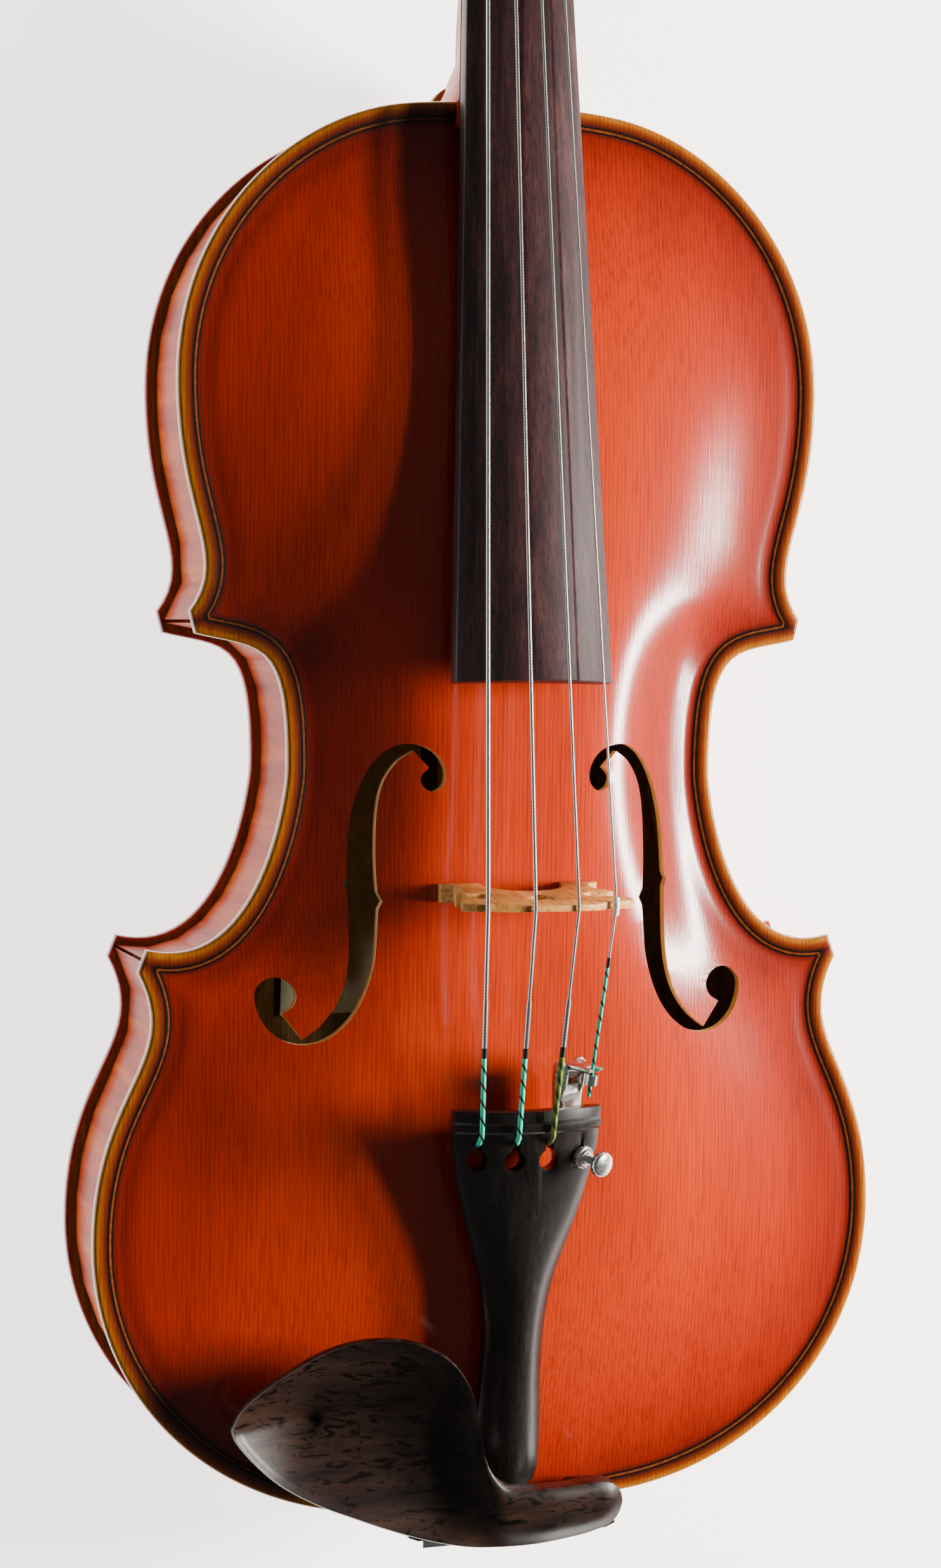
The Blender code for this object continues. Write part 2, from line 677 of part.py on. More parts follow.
def blocks_and_linings():
    """The blocks in the corners and ends, and the linings that pass through the corner blocks' notches."""
    reach = CORNER_BLOCK_REACH
    outer = lining_line(RIB_INSIDE + LINING_SEAT)
    inner = lining_line(RIB_INSIDE + LINING_SEAT + LINING_THICKNESS)
    room_outer = lining_line(RIB_INSIDE)
    room_inner = lining_line(RIB_INSIDE + LINING_SEAT + LINING_THICKNESS + SEAT)
    levels = (("top", RIB_HEIGHT - LINING_HEIGHT, RIB_HEIGHT - SEAT), ("back", SEAT, LINING_HEIGHT))
    rooms = {}
    for side, hand in ((-1.0, "bass"), (1.0, "treble")):
        for level, low, high in levels:
            add(f"lining_{level}_{hand}", strip(outer, inner, low, high, side), BARE_WOOD)
            room = strip(room_outer, room_inner, low - SEAT - 1.0 * (level == "back"),
                         high + SEAT + 1.0 * (level == "top"), side)
            rooms[level, hand] = add(f"lining_room_guide_{level}_{hand}", room)

    low, high = SEAT, RIB_HEIGHT - SEAT
    pairs = ((LINE_OUT[0], LINE_OUT[1], "upper"), (LINE_OUT[1], LINE_OUT[2], "lower"))
    for first, second, word in pairs:
        into = resample(first, spacing=0.5)[::-1]
        away = resample(second, spacing=0.5)
        arm = [into[int(k)] for k in np.linspace(2 * reach, 3, 5)]
        leg = [away[int(k)] for k in np.linspace(3, 2 * reach, 5)]
        for side, hand in ((-1.0, "bass"), (1.0, "treble")):
            outline = [(side * x, y) for x, y in arm + leg]
            block = add(f"corner_block_{word}_{hand}", prism(outline, low, high), BARE_WOOD)
            for level in ("top", "back"):
                cut(block, rooms[level, hand])

    def end_outline(line, width, inner_y):
        points = [p for p in resample(line, spacing=3.0) if abs(p[0]) <= width / 2]
        points.sort(key=lambda p: p[0])
        points = [(x, y) for x, y in points if x > 0.5]
        outline = [(-x, y) for x, y in reversed(points)] + points
        return outline + [(width / 2, inner_y), (-width / 2, inner_y)]

    inner_y = BODY_LENGTH - OVERHANG - RIB_THICKNESS - NECK_BLOCK_DEPTH
    neck_block = add("neck_block", prism(end_outline(LINE_OUT[0], NECK_BLOCK_WIDTH, inner_y), low, high), BARE_WOOD)
    cut(neck_block, mortise)
    inner_y = OVERHANG + RIB_THICKNESS + END_BLOCK_DEPTH
    end_block = add("end_block", prism(end_outline(LINE_OUT[2], END_BLOCK_WIDTH, inner_y), low, high), BARE_WOOD)
    cut(end_block, end_bore)


blocks_and_linings()


def bass_bar():
    """A spruce bar under the bass side of the belly, deepest below the bridge."""
    rings = []
    for y in np.linspace(BAR_LOW_Y, BAR_HIGH_Y, 15):
        share = (y - BAR_LOW_Y) / (BAR_HIGH_Y - BAR_LOW_Y)
        depth = 3.0 + (BAR_DEPTH - 3.0) * math.sin(math.pi * share) ** 1.3
        ring = []
        for x, drop in ((-1, 0), (1, 0), (1, 1), (-1, 1)):
            across = BAR_X + x * BAR_THICKNESS / 2
            ring.append((across, y, belly_inside(across, y) - INNER_SEAT - drop * depth))
        rings.append(ring)
    add("bass_bar", loft(rings), BARE_WOOD)


def sound_post():
    """A spruce dowel between the plates, behind the treble foot of the bridge."""
    post_y = BRIDGE_Y - POST_BEHIND_BRIDGE
    rings = [[], []]
    for k in range(16):
        angle = 2 * math.pi * k / 16
        x = POST_X + POST_RADIUS * math.cos(angle)
        y = post_y + POST_RADIUS * math.sin(angle)
        rings[0].append((x, y, back_inside(x, y) + INNER_SEAT))
        rings[1].append((x, y, belly_inside(x, y) - INNER_SEAT))
    add("sound_post", loft(rings), BARE_WOOD)


def label():
    """A bare slip of paper glued to the inside of the back, under the bass f-hole."""
    bm = bmesh.new()
    columns = np.linspace(LABEL_X - LABEL_WIDTH / 2, LABEL_X + LABEL_WIDTH / 2, 7)
    rings = []
    for y in np.linspace(LABEL_Y - LABEL_LENGTH / 2, LABEL_Y + LABEL_LENGTH / 2, 6):
        under = [(x, y, back_inside(x, y) + INNER_SEAT) for x in columns]
        over = [(x, y, z + LABEL_THICKNESS) for x, y, z in reversed(under)]
        rings.append(under + over)
    add("label", loft(rings, bm), PAPER)


bass_bar()
sound_post()
label()


# Neck, pegbox and scroll

def pegbox_half(y):
    """Outer half width of the pegbox."""
    return PEGBOX_HALF + (PEGBOX_END_HALF - PEGBOX_HALF) * (y - PEGBOX_START) / PEGBOX_LENGTH


def pegbox_front(y):
    """Height of the cheeks' front edges."""
    return PEGBOX_FRONT_Z - PEGBOX_FALL * (y - PEGBOX_START)


def pegbox_back(y):
    """Height of the pegbox's back."""
    return pegbox_front(y) - PEGBOX_DEPTH


def neck_back(y):
    """Height of the neck's round back between the nut and the heel."""
    share = (NUT_Y - y) / (NUT_Y - BODY_LENGTH - 31.5)
    return glue_height(y) - NECK_DEPTH_NUT - (NECK_DEPTH_HEEL - NECK_DEPTH_NUT) * share


def neck_section(y, foot, power, taper):
    """A half-round section of the neck, squarer where power is high."""
    wide = root_half(y)
    top = glue_height(y)
    ring = []
    for k in range(13):
        angle = math.pi * k / 12
        x = wide * math.copysign(abs(math.cos(angle)) ** (2.0 / power), math.cos(angle))
        drop = math.sin(angle) ** (2.0 / power)
        ring.append((x * (1.0 - taper * drop), y, top - (top - foot) * drop))
    return ring


def neck_body():
    """The neck from its root in the block to the nut, with the heel on the button."""
    end = BODY_LENGTH
    heel = [
        (end + 9.5, SEAT, 5.0, 0.48), (end + 12.6, SEAT + 0.4, 4.5, 0.70), (end + 15.0, 4.5, 4.0, 0.60), (end + 17.5, 12.5, 3.4, 0.40),
        (end + 21.5, 20.5, 2.9, 0.20), (end + 27.0, 26.3, 2.4, 0.06),
    ]
    rings = [root_section(ROOT_Y), root_section(end + 4.0)]
    rings += [neck_section(*station) for station in heel]
    for y in np.linspace(end + 36.0, NUT_Y - 3.0, 6):
        rings.append(neck_section(float(y), neck_back(float(y)), 2.1, 0.0))
    y = NUT_Y + NUT_WIDTH + 0.6
    rings.append(neck_section(y, pegbox_back(y) + 3.0, 2.6, 0.0))
    return loft(rings)


def volute_radius(turn):
    """Distance of the scroll's edge from the eye, after turning by an angle."""
    share = 1.0 - turn / (2 * math.pi * SCROLL_TURNS)
    return EYE_RADIUS + (SCROLL_RADIUS - EYE_RADIUS) * max(share, 0.0) ** 1.417


def volute_half(turn):
    """Half width of the scroll, narrow over the top and wide at the eye."""
    if turn <= math.pi:
        return SCROLL_NECK_HALF + 1.8 * (1.0 - turn / math.pi) ** 2
    share = (turn - math.pi) / (2 * math.pi * SCROLL_TURNS - math.pi)
    return SCROLL_NECK_HALF + (EYE_HALF - SCROLL_NECK_HALF) * share ** 1.2


SCROLL_Z = volute_radius(math.radians(-90.0 - SCROLL_START)) - BACK_ARCH


def volute():
    """The scroll as a closed solid: a fluted band outside, and a step for each turn up to the eye."""
    bm = bmesh.new()
    steps = SCROLL_STEPS
    last = int(steps * SCROLL_TURNS)
    wall = 0.5

    def vertex(turn, radius, x):
        angle = math.radians(SCROLL_START) + turn
        return bm.verts.new((x, SCROLL_Y + radius * math.cos(angle), SCROLL_Z + radius * math.sin(angle)))

    sides = {}
    for side in (1.0, -1.0):
        edge, flute, foot, eye = [], [], [], {}
        for i in range(last):
            turn = 2 * math.pi * i / steps
            edge.append(vertex(turn, volute_radius(turn), side * volute_half(turn)))
        for i in range(last - steps + 1, last):
            turn = 2 * math.pi * i / steps
            eye[i] = vertex(turn, EYE_RADIUS, side * EYE_HALF)
        turn = 2 * math.pi * last / steps
        tip = vertex(turn, EYE_RADIUS, side * EYE_HALF)
        edge.append(tip)
        eye[last - steps] = eye[last] = tip
        for i in range(last):
            turn = 2 * math.pi * i / steps
            inner_turn = turn + 2 * math.pi
            inner = volute_radius(inner_turn) if i <= last - steps else EYE_RADIUS
            step_up = volute_half(min(inner_turn, 2 * math.pi * SCROLL_TURNS)) - volute_half(turn)
            outer = volute_radius(turn)
            room = min(wall, (outer - inner) / 3)
            flute.append(vertex(turn, (outer + inner) / 2, side * (volute_half(turn) - 0.05 * (outer - inner))))
            foot.append(vertex(turn, inner + room, side * (volute_half(turn) + 0.2 * step_up)))
        flute.append(tip)
        foot.append(tip)
        sides[side] = (edge, flute, foot)
        for i in range(last):
            above = edge[i + steps] if i <= last - steps else eye[i]
            beyond = edge[i + 1 + steps] if i + 1 <= last - steps else eye[i + 1]
            for a, b, c, d in ((edge[i], edge[i + 1], flute[i + 1], flute[i]),
                               (flute[i], flute[i + 1], foot[i + 1], foot[i]),
                               (foot[i], foot[i + 1], beyond, above)):
                bm.faces.new(list(dict.fromkeys((a, b, c, d))))
        bm.faces.new([eye[i] for i in range(last - steps, last)])
    band = []
    for i in range(steps + 1):
        turn = 2 * math.pi * i / steps
        radius = volute_radius(turn)
        half = volute_half(turn)
        flute = BAND_FLUTE * min(1.0, (steps - i) / 2)
        row = [sides[1.0][0][i], vertex(turn, radius - flute, half * 0.5), vertex(turn, radius, 0.0),
               vertex(turn, radius - flute, -half * 0.5), sides[-1.0][0][i]]
        band.append(row)
    for near, far in zip(band, band[1:]):
        for k in range(4):
            bm.faces.new((near[k], near[k + 1], far[k + 1], far[k]))
    first, second = sides[1.0], sides[-1.0]
    step_face = [first[0][0], first[1][0], first[2][0]] + band[-1]
    step_face += [second[2][0], second[1][0], second[0][0]] + band[0][3:0:-1]
    bm.faces.new(step_face)
    return bm


def peg_place(number):
    """The y and z of a peg's axis."""
    y = PEGBOX_START + PEG_FIRST + PEG_SPACING * number
    return y, pegbox_front(y) - PEG_DROP


def peg_side(number):
    """Pegs 0 and 2 are turned from the bass side."""
    return -1.0 if number in (0, 2) else 1.0


def peg_radius(along, half, grow=0.0):
    """The peg's taper: thicker towards its head."""
    return PEG_RADIUS + PEG_TAPER * along / half + grow


def head():
    """Neck, pegbox and scroll, carved from one piece of maple."""
    neck = add("neck", neck_body(), MAPLE)
    rings = []
    stations = [(NUT_Y - 4.0, -6.0), (PEGBOX_START - 0.3, -6.0), (PEGBOX_START, 0.0)]
    stations += [(PEGBOX_START + along, 0.0) for along in (14.0, 28.0, 42.0, 56.0, PEGBOX_LENGTH)]
    stations += [(SCROLL_Y - 14.5, -4.5), (SCROLL_Y - 5.5, -9.0)]
    for y, lift in stations:
        half = min(pegbox_half(y), PEGBOX_HALF)
        if y < PEGBOX_START:
            half = root_half(y) + 0.3
        low = max(pegbox_back(y), SCROLL_Z - SCROLL_RADIUS + 0.6) + (1.2 if y < NUT_Y else 0.0)
        top = pegbox_front(y) + lift
        rings.append([(half, y, top), (half, y, low + 3.0), (half - 3.0, y, low), (3.0 - half, y, low),
                      (-half, y, low + 3.0), (-half, y, top)])
    cut(neck, add("pegbox_guide", loft(rings)), "UNION")
    cut(neck, add("volute_guide", volute()), "UNION")
    rings = []
    start = PEGBOX_START + 0.3
    for y, up in ((start, 6.0), (start + 3.0, 0.0), (start + 22.0, 0.0), (start + 52.0, 0.0), (start + 58.0, 6.0)):
        half = pegbox_half(y) - CHEEK
        low = pegbox_back(y) + FLOOR + up
        high = pegbox_front(y) + 25.0
        rings.append([(half, y, high), (half - 0.6, y, low), (0.6 - half, y, low), (-half, y, high)])
    cut(neck, add("pegbox_cavity_guide", loft(rings)))
    for number in range(4):
        y, z = peg_place(number)
        half = pegbox_half(y)
        profile = [(-half - 4.0, peg_radius(-half - 4.0, half, RUNNING)), (half + 4.0, peg_radius(half + 4.0, half, RUNNING))]
        cut(neck, add(f"peg_bore_guide_{number}", turned(profile, (peg_side(number), 0, 0), (0, y, z), 16)))


head()


def board_surface(x, half):
    """Height of the fingerboard's round top over its edge."""
    return math.sqrt(BOARD_RADIUS ** 2 - x * x) - math.sqrt(BOARD_RADIUS ** 2 - half * half)


def fingerboard():
    """Ebony, round on top, flat where it is glued and hollow over the belly."""
    free_from = (NUT_Y - ROOT_Y) / math.cos(math.radians(NECK_ANGLE)) + 1.5
    rings = []
    for along, scoop in ((0.0, 0.0), (70.0, 0.0), (free_from, 0.0), (free_from + 5.0, 1.0),
                         ((free_from + BOARD_LENGTH) / 2, 1.0), (BOARD_LENGTH, 1.0)):
        half = board_half(along)
        ring = [neck_frame(x, along, board_surface(x, half)) for x in np.linspace(half, -half, 11)]
        for share in (-1.0, -0.85, -0.5, 0.0, 0.5, 0.85, 1.0):
            rise = BOARD_HOLLOW * scoop * max(0.0, 1.0 - (share / 0.85) ** 2)
            ring.append(neck_frame(half * share, along, rise - BOARD_EDGE))
        rings.append(ring)
    add("fingerboard", loft(rings), EBONY)


def nut_height(x, radius):
    """Height of a string's centre over the fingerboard's edge, at the nut."""
    return board_surface(x, BOARD_NUT_HALF) + STRING_OVER_BOARD + radius


def nut():
    """The ebony nut, with a groove for each string."""
    rings = []
    for along, sink in ((-SEAT, 0.0), (-NUT_WIDTH * 0.6, 0.1), (-NUT_WIDTH - SEAT, 0.9)):
        half = BOARD_NUT_HALF
        ring = []
        for x in np.linspace(half, -half, 13):
            ring.append(neck_frame(x, along, board_surface(x, half) + NUT_RISE - sink))
        ring += [neck_frame(-half, along, -BOARD_EDGE), neck_frame(half, along, -BOARD_EDGE)]
        rings.append(ring)
    piece = add("nut", loft(rings), EBONY)
    for name, radius, x, _, _, _ in STRINGS:
        base = neck_frame(x, 2.0, nut_height(x, radius))
        axis = Vector(neck_frame(0, -1, 0)) - Vector(neck_frame(0, 0, 0))
        profile = [(0.0, radius + SEAT), (NUT_WIDTH + 5.0, radius + SEAT)]
        cut(piece, add(f"groove_guide_{name}", turned(profile, axis, base, 12)))


fingerboard()
nut()


def pegs():
    """Four ebony pegs, each turning in its two bores on its own axis."""
    for name, _, _, _, _, number in STRINGS:
        y, z = peg_place(number)
        half = pegbox_half(y)
        profile = [(-half - 1.6, peg_radius(-half - 1.6, half) - 0.6), (-half - 1.0, peg_radius(-half - 1.0, half))]
        profile.append((half + 2.6, peg_radius(half + 2.6, half)))
        profile += [(half + 2.6, PEG_COLLAR), (half + 4.4, PEG_COLLAR + 0.3), (half + 5.6, 4.2), (half + 8.5, 3.0)]
        profile += [(half + 11.0, 5.0, 3.6), (half + 15.0, 8.8, 3.9), (half + 20.0, PEG_HEAD_HALF, 3.4),
                    (half + 25.0, 8.6, 2.7), (half + 28.0, 5.0, 2.0), (half + 29.0, 2.0, 1.2)]
        bm = turned(profile, (peg_side(number), 0, 0), (0, y, z), 14, squash=(0, 0.5, 0.8660254))
        add(f"peg_{name}", bm, EBONY, origin=(0.0, y, z))


pegs()

# Bridge, tailpiece and strings

BRIDGE_STRING_Y = BRIDGE_Y + BRIDGE_TOP / 2


def bridge():
    """The maple bridge: two feet on the belly, a flat face towards the tailpiece, thin at the top."""
    def sole(x):
        return max(belly(x, BRIDGE_Y), belly(x, BRIDGE_Y + BRIDGE_BASE)) + SEAT

    toe, heel = BRIDGE_FOOT_HALF, BRIDGE_FOOT_INNER
    middle = (toe + heel) / 2
    base = sole(heel)
    crown = []
    for name, radius, _, x, z, _ in STRINGS:
        under = z - (SLEEVE_RADIUS + 0.2 if name == "a" else radius) - SEAT
        crown.append((x, under))
    shoulder = BRIDGE_SHOULDER
    crown = [(shoulder, crown[3][1] - 2.6), (crown[3][0] + 3.0, crown[3][1] - 0.2), crown[3],
                                                           (crown[3][0] - 1.4, crown[3][1])] + [
        (12.9, 88.9), crown[2], (0.0, 90.2), crown[1], (-12.9, 89.1), crown[0]] + [
        (crown[0][0] - 3.0, crown[0][1] - 0.2), (-shoulder, crown[0][1] - 2.6)]
    right = [(0.0, base + 12.0), (6.0, base + 11.0), (10.6, base + 7.6), (12.2, base + 3.0), (heel, base),
             (middle, sole(middle)), (toe, sole(toe)), (toe - 0.3, sole(toe) + 1.9), (20.8, base + 3.0),
             (19.6, base + 7.0), (20.6, base + 10.5), (23.6, base + 12.4), (24.0, base + 14.4),
             (21.5, base + 15.6), (16.8, base + 14.6), (14.0, base + 16.4), (13.6, base + 19.6),
             (16.4, base + 21.6), (21.0, base + 20.8), (25.0, base + 22.4)]
    left = [(-x, z) for x, z in reversed(right[1:])]
    outline = right + crown + left
    tail_face = BRIDGE_Y

    def depth(z):
        share = (z - base) / (90.0 - base)
        return BRIDGE_BASE + (BRIDGE_TOP - BRIDGE_BASE) * min(max(share, 0.0), 1.0)

    rings = [[(x, tail_face, z) for x, z in outline], [(x, tail_face + depth(z), z) for x, z in outline]]
    piece = add("bridge", loft(rings), BRIDGE_MAPLE)
    heart = [(0.0, base + 16.5), (2.0, base + 19.0), (4.2, base + 21.5), (4.0, base + 24.0), (2.2, base + 24.8),
             (0.0, base + 23.4), (-2.2, base + 24.8), (-4.0, base + 24.0), (-4.2, base + 21.5), (-2.0, base + 19.0)]
    rings = [[(x, tail_face + shift, z) for x, z in heart] for shift in (-5.0, BRIDGE_BASE + 5.0)]
    cut(piece, add("heart_guide", loft(rings)))


bridge()

TAIL_WIDTHS = ((12.0, 6.4), (14.0, 9.0), (18.0, 10.1), (30.0, 9.9), (44.0, 9.1), (55.0, 8.8), (63.0, 9.1),
               (71.0, 10.0), (78.0, 11.4), (86.0, 13.9), (94.0, 16.5), (101.5, 18.6), (109.5, 20.5), (117.0, 22.0),
               (127.5, 22.4))


def tail_half(y):
    """Half width of the tailpiece."""
    return float(np.interp(y, [w[0] for w in TAIL_WIDTHS], [w[1] for w in TAIL_WIDTHS]))


def tail_surface(x, y):
    """Height of the tailpiece's round top."""
    return TAIL_TOP_Z + TAIL_SLOPE * y - TAIL_CROWN * (x / tail_half(y)) ** 2


def tuner_matrix():
    """The frame that stands on the tailpiece's top where the tuner's screw passes through."""
    y = KEYHOLE_Y
    half = tail_half(y)
    slope = -2 * TAIL_CROWN * TUNER_X / half ** 2
    normal = Vector((-slope, -TAIL_SLOPE, 1.0)).normalized()
    along = Vector((0.0, 1.0, TAIL_SLOPE)).normalized()
    across = along.cross(normal)
    spot = Vector((TUNER_X, y, tail_surface(TUNER_X, y)))
    matrix = Matrix((across, along, normal)).transposed().to_4x4()
    matrix.translation = spot
    return matrix


TUNER = tuner_matrix()


def tailpiece():
    """Ebony, round on top and hollow under its wide end, with a raised fret for the strings."""
    fret = [(FRET_Y - 1.8, 0.0), (FRET_Y - 1.0, FRET_RISE), (FRET_Y + 1.0, FRET_RISE), (FRET_Y + 1.8, 0.0)]
    stations = sorted([(y, 0.0) for y, _ in TAIL_WIDTHS] + fret)
    rings = []
    for y, rise in stations:
        half = tail_half(y)
        open_share = min(max((y - 68.0) / 22.0, 0.0), 1.0)
        side_top = tail_surface(half, y)
        side_low = side_top - TAIL_SIDE
        lift = (TAIL_CROWN + TAIL_SIDE - TAIL_SHELL) * open_share
        ring = [(x, y, tail_surface(x, y) + rise) for x in np.linspace(half, -half, 11)]
        for share in (-1.0, -0.85, -0.45, 0.0, 0.45, 0.85, 1.0):
            ring.append((share * half, y, side_low + lift * max(0.0, 1.0 - (share / 0.85) ** 2)))
        rings.append(ring)
    piece = add("tailpiece", loft(rings), EBONY)
    for number, x in enumerate(KEYHOLE_X):
        outline = [(x + KEYHOLE_SLOT / 2, KEYHOLE_Y + 6.5), (x - KEYHOLE_SLOT / 2, KEYHOLE_Y + 6.5)]
        start = math.asin(KEYHOLE_SLOT / 2 / KEYHOLE_RADIUS)
        for k in range(13):
            angle = math.pi / 2 + start + (2 * math.pi - 2 * start) * k / 12
            outline.append((x + KEYHOLE_RADIUS * math.cos(angle), KEYHOLE_Y + KEYHOLE_RADIUS * math.sin(angle)))
        cut(piece, add(f"keyhole_guide_{number}", prism(outline, 50.0, 95.0)))
    slit = [(TUNER_X + s, y) for s, y in ((-SLIT_WIDTH / 2, KEYHOLE_Y), (SLIT_WIDTH / 2, KEYHOLE_Y),
                                          (SLIT_WIDTH / 2, KEYHOLE_Y + 7.0), (-SLIT_WIDTH / 2, KEYHOLE_Y + 7.0))]
    cut(piece, add("slit_guide", prism(slit, 50.0, 95.0)))
    bore = turned([(-12.0, TUNER_TUBE + SEAT), (8.0, TUNER_TUBE + SEAT)], (0, 0, 1), (0, 0, 0), 16)
    bmesh.ops.transform(bore, matrix=TUNER, verts=bore.verts)
    cut(piece, add("tuner_bore_guide", bore))
    low = tail_surface(tail_half(14.0), 14.0) - TAIL_SIDE
    cut(piece, add("gut_channel_guide", box((-GUT_X - 2.2, 5.0, low - 6.0), (GUT_X + 2.2, 28.0, low + 4.4))))


tailpiece()


def least_gap(points, radius):
    """Smallest clear distance of a wound tube to itself, between points a loop apart."""
    points = np.array(points)
    apart = LOOP_POINTS // 2
    best = 1e9
    for i in range(len(points) - apart):
        best = min(best, float(np.linalg.norm(points[i + apart:] - points[i], axis=1).min()))
    return best - 2 * radius


def string_after_bridge(name, x, z):
    """From the bridge over the fret and down a slot, for the three strings with keyholes."""
    slot_x = KEYHOLE_X[("c", "g", "d").index(name)]
    ridge = tail_surface(slot_x, FRET_Y) + FRET_RISE + SEAT + SILK_RADIUS
    top = tail_surface(slot_x, KEYHOLE_Y + 5.0)
    start = Vector((x, BRIDGE_STRING_Y, z))
    rest = Vector((slot_x, FRET_Y, ridge))
    silk = start.lerp(rest, 0.40)
    full = start.lerp(rest, 0.42)
    drop_y = KEYHOLE_Y + 4.6
    points = [silk, full, rest, (slot_x, FRET_Y - 2.2, ridge - 0.35), (slot_x, drop_y + 0.9, top + 0.5),
              (slot_x, drop_y, top - 1.6), (slot_x, drop_y, top - BALL_DROP - BALL_LENGTH - 0.4)]
    return points


def hook_line():
    """The line of the A string from the bridge to its hook: the hook's place and its direction."""
    hook = TUNER @ Vector(HOOK_LOCAL)
    x, z = STRINGS[3][3], STRINGS[3][4]
    direction = (hook - Vector((x, BRIDGE_STRING_Y, z))).normalized()
    return hook, direction


def strings():
    """Each string is one cord from its winding on the peg to its end in the tailpiece or tuner."""
    for name, radius, nut_x, bridge_x, bridge_z, number in STRINGS:
        y, z = peg_place(number)
        side = peg_side(number)
        core = PEG_RADIUS + PEG_TAPER * 0.6 + SEAT + radius
        pitch = 2 * radius + WINDING_GAP
        leave_x = side * (abs(nut_x) if abs(nut_x) < 6.0 else pegbox_half(y) - CHEEK - radius - 1.2)
        nut_back = Vector(neck_frame(nut_x, -NUT_WIDTH - 1.6, nut_height(nut_x, radius)))
        nut_front = Vector(neck_frame(nut_x, 0.5, nut_height(nut_x, radius)))
        fall = math.atan2(nut_back.z - z, y - nut_back.y)
        reach = math.hypot(nut_back.z - z, y - nut_back.y)
        touch = math.pi - fall - math.acos(core / reach)
        loop = []
        count = WINDING_LOOPS * LOOP_POINTS
        for k in range(count + 1):
            angle = touch - 2 * math.pi * k / LOOP_POINTS
            x = leave_x - side * pitch * k / LOOP_POINTS
            loop.append(Vector((x, y + core * math.cos(angle), z + core * math.sin(angle))))
        stub = (loop[-1] - loop[-2]).normalized() * 2 * radius
        points = [loop[-1] + stub] + loop[::-1] + [nut_back, nut_front]
        print(f"string_{name} least gap between loops {least_gap(points[:-2], radius):.2f} mm")
        start = Vector((bridge_x, BRIDGE_STRING_Y, bridge_z))
        points.append(nut_front.lerp(start, 0.5))
        points.append(start)
        widths = [1.0] * len(points)
        thick = SILK_RADIUS / radius
        if name == "a":
            hook, direction = hook_line()
            reach = (hook - start).length
            points += [start + direction * reach * 0.3, start + direction * reach * 0.32, hook + direction * 8.0]
            widths += [1.0, 1.6, 1.6]
        else:
            points += string_after_bridge(name, bridge_x, bridge_z)
            widths += [1.0] + [thick] * 6
        cord(f"string_{name}", points, STEEL, radius, widths)


strings()


def string_fittings():
    """The balls that hold the strings, and the sleeve that guards the bridge from the A string."""
    for name, x in zip(("c", "g", "d"), KEYHOLE_X):
        top = tail_surface(x, KEYHOLE_Y + 5.0)
        place_y = KEYHOLE_Y + 4.6
        low = top - BALL_DROP - BALL_LENGTH
        ball = sleeve(BALL_RADIUS, SILK_RADIUS + SEAT, low, low + BALL_LENGTH, (0, 0, 1), (x, place_y, 0), 12)
        add(f"{name}_string_ball", ball, NICKEL)
    hook, direction = hook_line()
    radius = STRINGS[3][1]
    bore = 1.6 * radius + 0.45
    pivot = TUNER @ Vector((0, PIVOT_Y, PIVOT_Z))
    bm = sleeve(BALL_RADIUS, bore, 1.1, 1.1 + BALL_LENGTH, direction, hook, 12)
    add("a_string_ball", bm, NICKEL, origin=pivot)
    start = Vector((STRINGS[3][3], BRIDGE_STRING_Y, STRINGS[3][4]))
    nut_front = Vector(neck_frame(STRINGS[3][2], 0.5, nut_height(STRINGS[3][2], radius)))
    before = (nut_front - start).normalized() * SLEEVE_LENGTH / 2
    after = direction * SLEEVE_LENGTH / 2
    add("a_string_sleeve", bent_sleeve([start + before, start, start + after], SLEEVE_RADIUS, radius + SEAT), PLASTIC)


string_fittings()


